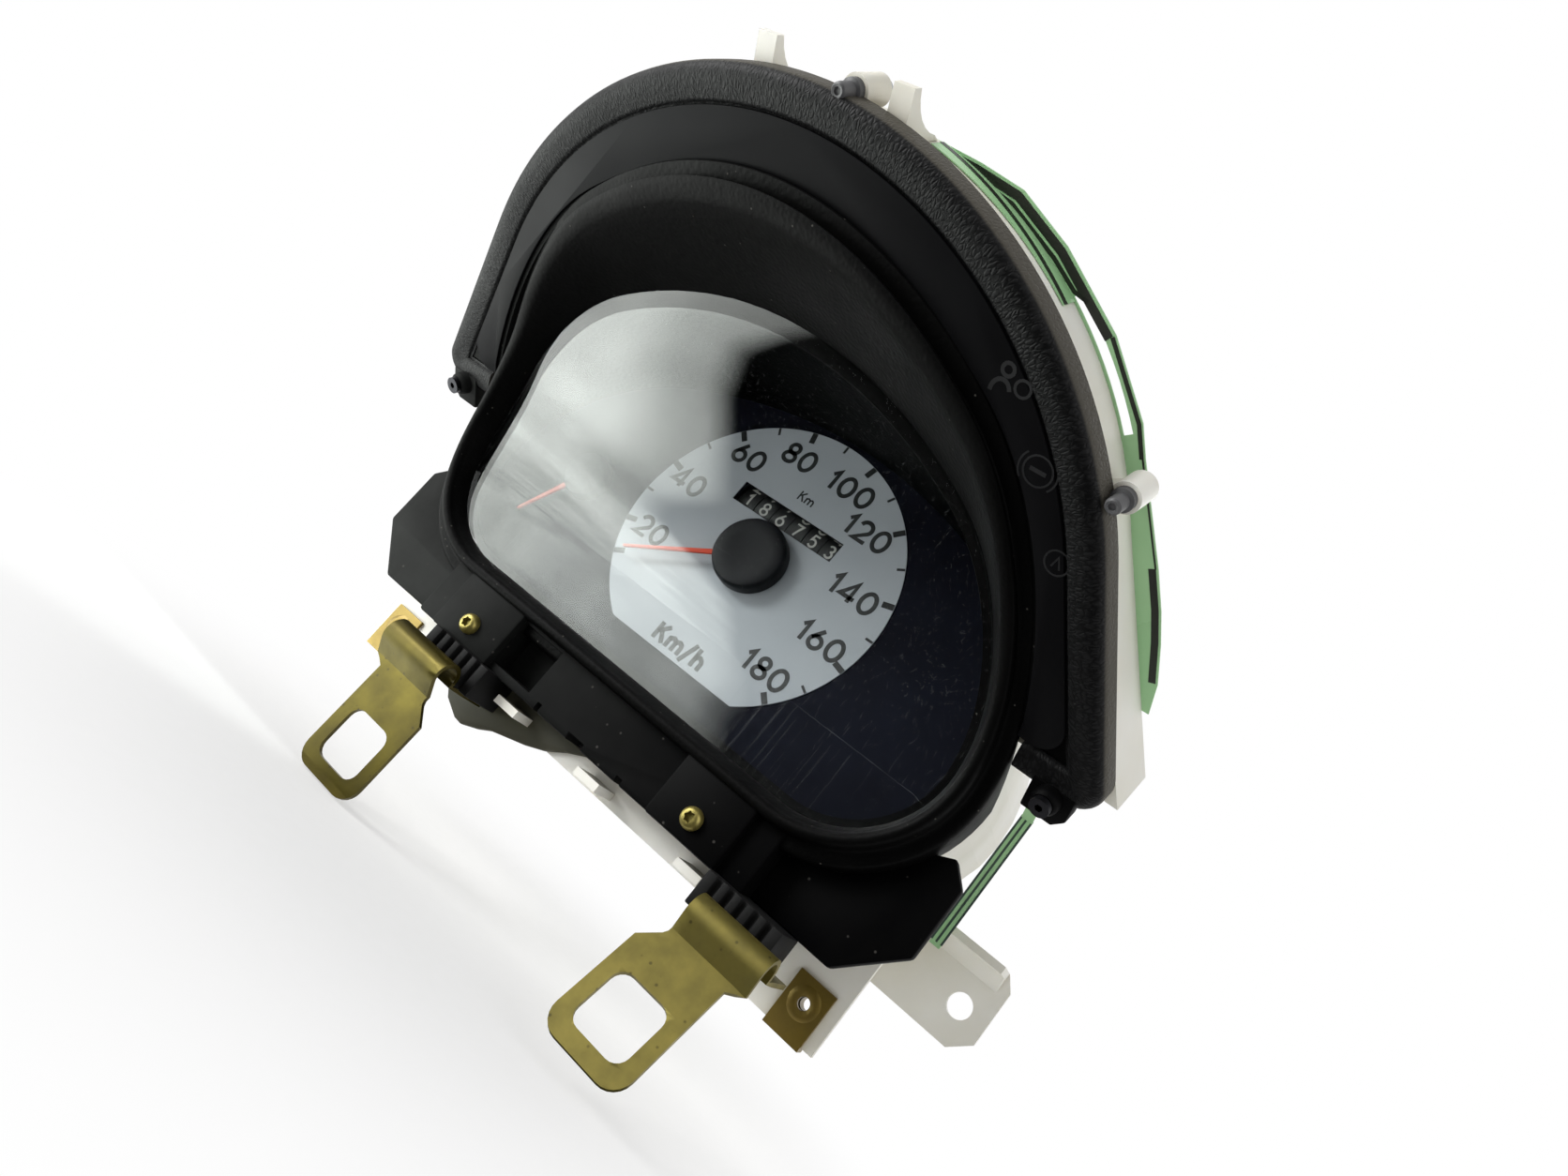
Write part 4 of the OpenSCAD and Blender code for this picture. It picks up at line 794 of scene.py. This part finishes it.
b, g = bracket, rubber  # both are read often below
for name, material in (("right", zincPlate), ("left", zincForKeyLight)):
    middle, lean, out = bracket[name]
    down = math.radians(270 - lean)
    path = [(y, b["tangZ"], 0) for y in b["tang"]]
    beadTurn = 270 - lean - b["beadStop"] - b["beadStart"]
    for k in range(b["beadSteps"] + 1):
        t = math.radians(b["beadStart"] + beadTurn * k / b["beadSteps"])
        path.append((b["beadY"] + b["beadR"] * math.cos(t), b["beadZ"] + b["beadR"] * math.sin(t), 0))
    turns = [math.radians(90 * k / b["endSteps"]) for k in range(b["endSteps"] + 1)]
    for r in b["neck"] + [b["loop"] - b["endR"] * (1 - math.sin(t)) for t in turns]:
        path.append((b["beadY"] + r * math.cos(down), b["beadZ"] + r * math.sin(down), r))
    rows = []
    for y, z, r in path:
        inner = b["half"] - b["shift"] * fadeOut(r, b["innerFrom"], b["innerRun"])
        outer = b["half"] + (b["shift"] - b["outerLess"]) * fadeOut(r, b["outerFrom"], b["outerRun"])
        tail = max(0, r - b["loop"] + b["endR"])
        nip = b["endR"] - math.sqrt(max(0, b["endR"] ** 2 - tail ** 2))
        left, right = -inner + nip, outer - nip
        steps = [left + (right - left) * t / b["across"] for t in range(b["across"] + 1)]
        rows.append([onDial(middle + out * x, y, z) for x in steps])
    sheet = gridPiece(name + "_bracket_sheet", rows)
    applyMod(sheet, "SOLIDIFY", thickness=b["thick"] * mm, offset=0)
    half = b["hole"] / 2
    far = b["holeTop"] + half
    cutter = boxPiece("cut", Vector((-half, -5, -half)) * mm, Vector((half, 5, half)) * mm)
    applyMod(cutter, "BEVEL", width=b["holeR"] * mm, segments=5, limit_method="NONE", affect="EDGES")
    cutter.data.transform(Matrix.Rotation(math.radians(-lean), 4, "X"))
    cutter.data.transform(Matrix.Translation(
        onDial(middle, b["beadY"] + far * math.cos(down), b["beadZ"] + far * math.sin(down))))
    cutPiece(sheet, cutter)
    applyMod(sheet, "BEVEL", width=b["rounding"] * mm, segments=2, limit_method="ANGLE", angle_limit=math.radians(50))
    finishPiece(sheet, material, slot="zinc_steel", stands=(name + "_bracket",))

    comb = [(-g["half"], g["back"]), (-g["half"], g["front"])]
    for i in range(1, g["ribs"] + 1):
        x = -g["half"] + i * 2 * g["half"] / (g["ribs"] + 1)
        floorY = g["front"] + g["slotDeep"]
        comb += [(x - g["slotTop"], g["front"]), (x - g["slotFoot"], floorY),
                 (x + g["slotFoot"], floorY), (x + g["slotTop"], g["front"])]
    comb += [(g["half"], g["front"]), (g["half"], g["back"])]
    block = platePiece(name + "_rubber", [onDial(middle + x, y, g["top"]) for x, y in comb],
                       Vector((0, 0, -g["tall"] * mm)), g["rounding"])
    finishPiece(block, blockRubber, slot="block_rubber", stands=(name + "_block",))

# a dark brown sheet over the case's front wall below the strip, on its left: painted shade for the strip's shadow
shadeWall = {"front": -7.4, "thick": 1.8, "rounding": 0.3,
             "outline": [(-46, -69.6), (-46, -79), (-42, -83), (-36, -85.6), (-33.3, -85.8), (-28.2, -83.8),
                         (-24.4, -81.7), (-13.6, -78.5), (-7.9, -76.2), (-2.3, -72.6), (4.0, -69.6)]}
finishPiece(dialPlate("case_wall_painted_shade", shadeWall["outline"], shadeWall), shadedCaseTone, slot="ivory_plastic")

# each foot's stiffening wall leans out from the plate
flange = {"x": 94.0, "long": 20.0, "rounding": 0.25,
          "section": [(43.2, -49.2), (36.5, -44.6), (36.5, -43.2), (43.2, -43.2)]}
flanges = []
for side in (1, -1):
    flanges.append(platePiece("flange", [onDial(side * flange["x"], y, z) for y, z in flange["section"]],
                              Vector((side * flange["long"] * mm, 0, 0)), flange["rounding"]))
finishPiece(joinPieces("foot_flanges", flanges), ivoryPolypropylene, slot="ivory_plastic")

screws = {"x": 42.6, "z": -63.4, "face": -20.5, "steps": 30,
          "starR": 1.3, "starWave": 0.2, "starFront": -3.0, "starDeep": 2.1, "starSteps": 24, "lobes": 6,
          "section": [(0, -2.35), (1.7, -2.3), (2.3, -2.0), (2.75, -1.3), (2.9, -0.5), (2.9, 0), (1.9, 0),
                      (1.9, 11.4), (0, 11.6)]}
heads = []
for side in (1, -1):
    screwPlace = spot(onDial, side * screws["x"], screws["face"], screws["z"])
    head = turnedPiece("head", screws["section"], screwPlace, screws["steps"])
    star = []
    for k in range(screws["starSteps"]):
        a = math.tau * k / screws["starSteps"]
        r = screws["starR"] + screws["starWave"] * math.cos(screws["lobes"] * a)
        star.append(screwPlace(r * math.cos(a), screws["starFront"], r * math.sin(a)))
    heads.append(cutPiece(head, platePiece("cut", star, Vector((0, screws["starDeep"] * mm, 0)))))
finishPiece(joinPieces("six_lobe_screws", heads), screwZinc, slot="zinc_steel", stands=("strip_screws",))

dimple = {"x": 83.4, "face": 6.8, "z": -80.0, "steps": 32,
          "section": [(1.6, 0.6), (1.75, -0.05), (2.6, -0.4), (3.5, -0.35), (4.3, 0.02), (4.3, 0.3), (1.6, 0.6)]}
dimples = []
for side in (1, -1):
    place = spot(onDial, side * dimple["x"], dimple["face"], dimple["z"])
    dimples.append(turnedPiece("dimple", dimple["section"], place, dimple["steps"]))
finishPiece(joinPieces("clip_nut_dimples", dimples), nutSteel, slot="nut_steel")
print("brackets and fixings made")

# the inner works and the back keep their solids and take a real finish each
finishes = {
    "rear_case": ivoryPolypropylene, "flex_circuit": greenFilm, "bulb_holders": nylonGear, "bulbs": lampGlass,
    "plug_tongues": traceInk, "pointer_spindle": brightSteel, "drag_cup": cupAluminium, "hairspring": springBronze,
    "magnet": magnetFerrite, "drive_spindle": brightSteel, "speedo_frame": frameCasting, "cross_shaft": gearBrass,
    "idler_gear": nylonGear, "drum_axle": brightSteel, "cable_inlet": frameCasting, "fuel_movement": nylonGear,
    "fuel_spindle": brightSteel, "corner_screws": blackSteel, "clip_nuts": nutSteel, "post_screws": brightSteel,
}
for node, material in finishes.items():
    faceNode(node, material)
print("works finished")

# conductors on the film's free edge, on its back and on its tail; the edge is (turn, reach past the arch)
filmPrint = {
    "edge": [(11, -4.2), (18, -2.1), (24, 0.2), (32, 0.5), (43, 1.0), (53, 1.0), (57, 0.2), (65, 0.8), (70, 2.2),
             (75, 4.0), (79, 5.5), (84, 7.6)],
    "runs": [(0, 5, 1.55, 1.9), (4, 7, 0.8, 0.9), (6, 9, 0.55, 0.4), (8, 12, 1.3, 1.6)],  # from, to, set in, width
    "inner": ([(11, -7.4), (20, -4.6), (24, -3.3), (32, -3.0), (36.5, -2.9), (38.4, -1.4)], 0.9),
    "front": 19.95, "back": 20.35, "rings": 4, "ringReach": -8, "ringPitch": 2.6, "ringWide": 1.8,
    "ringEnd": 84, "ringNip": 3, "ringStep": 4,
    "spokes": (0, 32, -32), "spokeFoot": -20, "spokeTop": -9, "spokeWide": 1.6,
    "stubs": (60, -60, 66, -66, 72, -72), "stubFoot": -12, "stubTop": -1.2, "stubTopLeft": -8.6, "stubWide": 1.3,
    "tailX": 98.0, "tailY": 16.25, "tailLines": (-1.5, -0.1, 1.4), "tailFrom": -11, "tailTo": -49, "tailWide": 0.55,
}


def onEdge(turn, reach):
    a = math.radians(turn)
    r = archPlace["r"] + reach
    return (r * math.sin(a), r * math.cos(a) - archPlace["drop"])


f = filmPrint  # read often below
front = [([onEdge(t, e - setIn) for t, e in f["edge"][start:stop]], wide) for start, stop, setIn, wide in f["runs"]]
front.append(([onEdge(*point) for point in f["inner"][0]], f["inner"][1]))
back = []
for k in range(f["rings"]):
    end = f["ringEnd"] - f["ringNip"] * k
    turns = range(-end, end + 1, f["ringStep"])
    back.append(([onEdge(t, f["ringReach"] - f["ringPitch"] * k) for t in turns], f["ringWide"]))
for k, t in enumerate(f["spokes"]):
    back.append(([onEdge(t, f["spokeFoot"]), onEdge(t, f["spokeTop"] - f["ringPitch"] * k)], f["spokeWide"]))
for t in f["stubs"]:
    back.append(([onEdge(t, f["stubTop" if t > 0 else "stubTopLeft"]), onEdge(t, f["stubFoot"])], f["stubWide"]))
frontTraces = strokePiece("film_front_traces", front, lambda u, v: onArch(u, f["front"], v))
finishPiece(frontTraces, traceInk, slot="film_green")
backTraces = strokePiece("film_back_traces", back, lambda u, v: onArch(u, f["back"], v))
finishPiece(backTraces, traceInk, slot="film_green")

# upper right, the film folds forward over the tray's wall, and one conductor slants along it
filmFold = {"r": 98.25, "from": 12.5, "to": 37.5, "steps": 18, "middle": 17.5, "wide": 4.9, "thick": 0.25,
            "lineFrom": 18.9, "lineDrop": 2.9, "lineWide": 1.3, "lineLift": 0.16}


def onRim(run, d, lift=0.0):
    a = run / filmFold["r"]
    r = filmFold["r"] + lift
    return onArch(r * math.sin(a), d, r * math.cos(a) - archPlace["drop"])


shares = [k / filmFold["steps"] for k in range(filmFold["steps"] + 1)]
sweep = filmFold["to"] - filmFold["from"]
runs = [math.radians(filmFold["from"] + sweep * t) * filmFold["r"] for t in shares]
foldSheet = ([(x, filmFold["middle"]) for x in runs], filmFold["wide"])
finishPiece(strokePiece("film_fold", [foldSheet], onRim, filmFold["thick"]), greenFilm, slot="film_green")
foldLine = [(x, filmFold["lineFrom"] - filmFold["lineDrop"] * t) for x, t in zip(runs, shares)]
foldTraces = strokePiece("film_fold_traces", [(foldLine, filmFold["lineWide"])],
                         lambda x, d: onRim(x, d, filmFold["lineLift"]))
finishPiece(foldTraces, traceInk, slot="film_green")
tail = [([(f["tailX"] + x, f["tailFrom"]), (f["tailX"] + x, f["tailTo"])], f["tailWide"]) for x in f["tailLines"]]
tailTraces = strokePiece("film_tail_traces", tail, lambda x, z: onDial(x, f["tailY"], z))
finishPiece(tailTraces, tailInk, slot="film_green")
print("film printed")

# camera, light, floor
view = {"lens": 23.58, "sensor": 36, "near": 0.01, "place": (0.133989, -0.295428, 0.006429),
        "right": (0.73879, 0.23501, 0.63163), "down": (0.51779, 0.40197, -0.75519),
        "ahead": (-0.43138, 0.88498, 0.17529)}
cameraData = bpy.data.cameras.new("photoCamera")
cameraData.lens = view["lens"]
cameraData.sensor_width = view["sensor"]
cameraData.clip_start = view["near"]
camera = bpy.data.objects.new("photoCamera", cameraData)
bpy.context.scene.collection.objects.link(camera)
turn = Matrix((view["right"], [-c for c in view["down"]], [-c for c in view["ahead"]])).transposed()
camera.matrix_world = Matrix.Translation(view["place"]) @ turn.to_4x4()
bpy.context.scene.camera = camera

softboxes = {  # place, what it is turned to, side, watts
    "keySoftbox": ((-0.85, -0.8, 0.38), (0, -0.05, 0.06), 0.5, 13),
    "fillSoftbox": ((0.8, -0.35, 0.5), (0, -0.05, 0.06), 0.8, 2.6),
    "backSoftbox": ((0.1, 0.8, 0.8), (0, 0, 0.06), 0.8, 4),
}
for name, (place, target, side, watts) in softboxes.items():
    lampData = bpy.data.lights.new(name, "AREA")
    lampData.shape = "RECTANGLE"
    lampData.size = lampData.size_y = side
    lampData.energy = watts
    lamp = bpy.data.objects.new(name, lampData)
    bpy.context.scene.collection.objects.link(lamp)
    lamp.location = place
    lamp.rotation_euler = (Vector(target) - Vector(place)).to_track_quat("-Z", "Y").to_euler()

# studio cards that only show in reflections: dark up to an edge, then they glow, which gives the lens its glare
cards = {  # edge and fade run over metres away, ramp over metres past the edge
    "floorCard": {
        "corners": [(-900, -30, -114), (500, -30, -114), (500, -700, -114), (-900, -700, -114)], "away": (0, -1, 0),
        "edge": [(0.08, 0.05), (0.126, 0.086), (0.147, 0.103), (0.168, 0.123), (0.19, 0.134), (0.205, 0.126),
                 (0.218, 0.114), (0.267, 0.109), (0.347, 0.137), (0.75, 0.31)],
        "ramp": [(-0.03, 0.0), (-0.009, 0.0), (0.008, 0.4), (0.03, 0.5), (0.06, 0.76), (0.1, 0.86), (0.15, 0.86)],
        "fade": [(0.1, 1.0), (0.2, 0.95), (0.3, 0.75), (0.45, 0.65), (0.75, 0.6)]},
    "wallCard": {
        "corners": [(-900, -700, -113), (700, -700, -113), (700, -700, 320), (-900, -700, 320)], "away": (0, 0, 1),
        "edge": [(-0.06, 0.312), (0.07, 0.286)],
        "ramp": [(-0.05, 0.0), (-0.025, 0.0), (0.03, 0.28), (0.15, 0.38), (0.3, 0.54), (0.4, 0.54)],
        "fade": [(-0.06, 1.0), (0.075, 1.0), (0.2, 0.15), (0.3, 0.1)]},
}
for name, card in cards.items():
    piece = meshPiece(name, [onDial(*c) for c in card["corners"]], [tuple(range(len(card["corners"])))])
    material, add, where = newMaterial(name)
    away = add("VectorMath", {0: where, 1: card["away"]}, {"operation": "DOT_PRODUCT"})
    left = add("VectorMath", {0: where, 1: (-1, 0, 0)}, {"operation": "DOT_PRODUCT"})
    edge = add("FloatCurve", {"Value": away}, curve=card["edge"])
    past = add("Math", {0: left, 1: edge}, {"operation": "SUBTRACT"})
    ramp = add("FloatCurve", {"Value": past}, curve=card["ramp"])
    fade = add("FloatCurve", {"Value": away}, curve=card["fade"])
    level = add("Math", {0: ramp, 1: fade}, product)
    fold = add("TexNoise", {"Vector": where, "Scale": perMetre(62.5), "Detail": 3})
    crease = add("MapRange", {0: fold, 1: 0.35, 2: 0.65, 3: 8.4, 4: 11.0})
    shade = add("Math", {0: level, 1: crease}, product)
    glow = add("Emission", {"Color": "#fafffa", "Strength": shade})
    piece.data.materials.append(closeMaterial(material, glow))
    piece.visible_camera = piece.visible_diffuse = piece.visible_shadow = False


def backgroundRays(add):  # 1 where the white background shows: seen directly, through glass or in gloss
    path = add("LightPath")
    seen = add("Math", {0: path.outputs["Is Camera Ray"], 1: path.outputs["Is Transmission Ray"]}, largest)
    return add("Math", {0: seen, 1: path.outputs["Is Glossy Ray"]}, largest)


world = bpy.data.worlds.new("studio")
bpy.context.scene.world = world
world.use_nodes = True
world.node_tree.nodes.clear()
add = partial(addNode, world.node_tree)
level = add("MapRange", {0: backgroundRays(add), 1: 0.0, 2: 1.0, 3: 0.3, 4: 1.0})
sky = add("Background", {"Color": "#ffffff", "Strength": level})
add("OutputWorld", {"Surface": sky})

floorSheet = {"size": 6.0, "gap": 0.0005, "near": 0.04, "far": 0.18, "middle": (0, -0.06)}  # shadow fades to white
bpy.ops.object.select_all(action="DESELECT")
bpy.ops.mesh.primitive_plane_add(size=floorSheet["size"], location=(0, 0, cadLow.z - floorSheet["gap"]))
floor = bpy.context.object
floor.name = "floor"
bpy.ops.object.transform_apply(location=True)
floorPaper, add, where = newMaterial("whitePaperSweep")  # matt white paper
fleck = add("TexNoise", {"Vector": where, "Scale": perMetre(3.3333)})
paper = add("Mix", {0: fleck, 6: "#f6f6f5", 7: "#fcfcfc"}, colorMix)
matt = add("BsdfPrincipled", {"Base Color": paper, "Roughness": 0.85})
reach = add("VectorMath", {0: where, 1: (*floorSheet["middle"], cadLow.z)}, {"operation": "DISTANCE"})
away = add("MapRange", {0: reach, 1: floorSheet["near"], 2: floorSheet["far"], 3: 0.5, 4: 1.0}, smoothStep)
share = add("Math", {0: away, 1: backgroundRays(add)}, product)
white = add("Emission", {"Color": "#ffffff", "Strength": 1.0})
closeMaterial(floorPaper, add("MixShader", {0: share, 1: matt, 2: white}))
floor.data.materials.append(floorPaper)

print("scene ready")
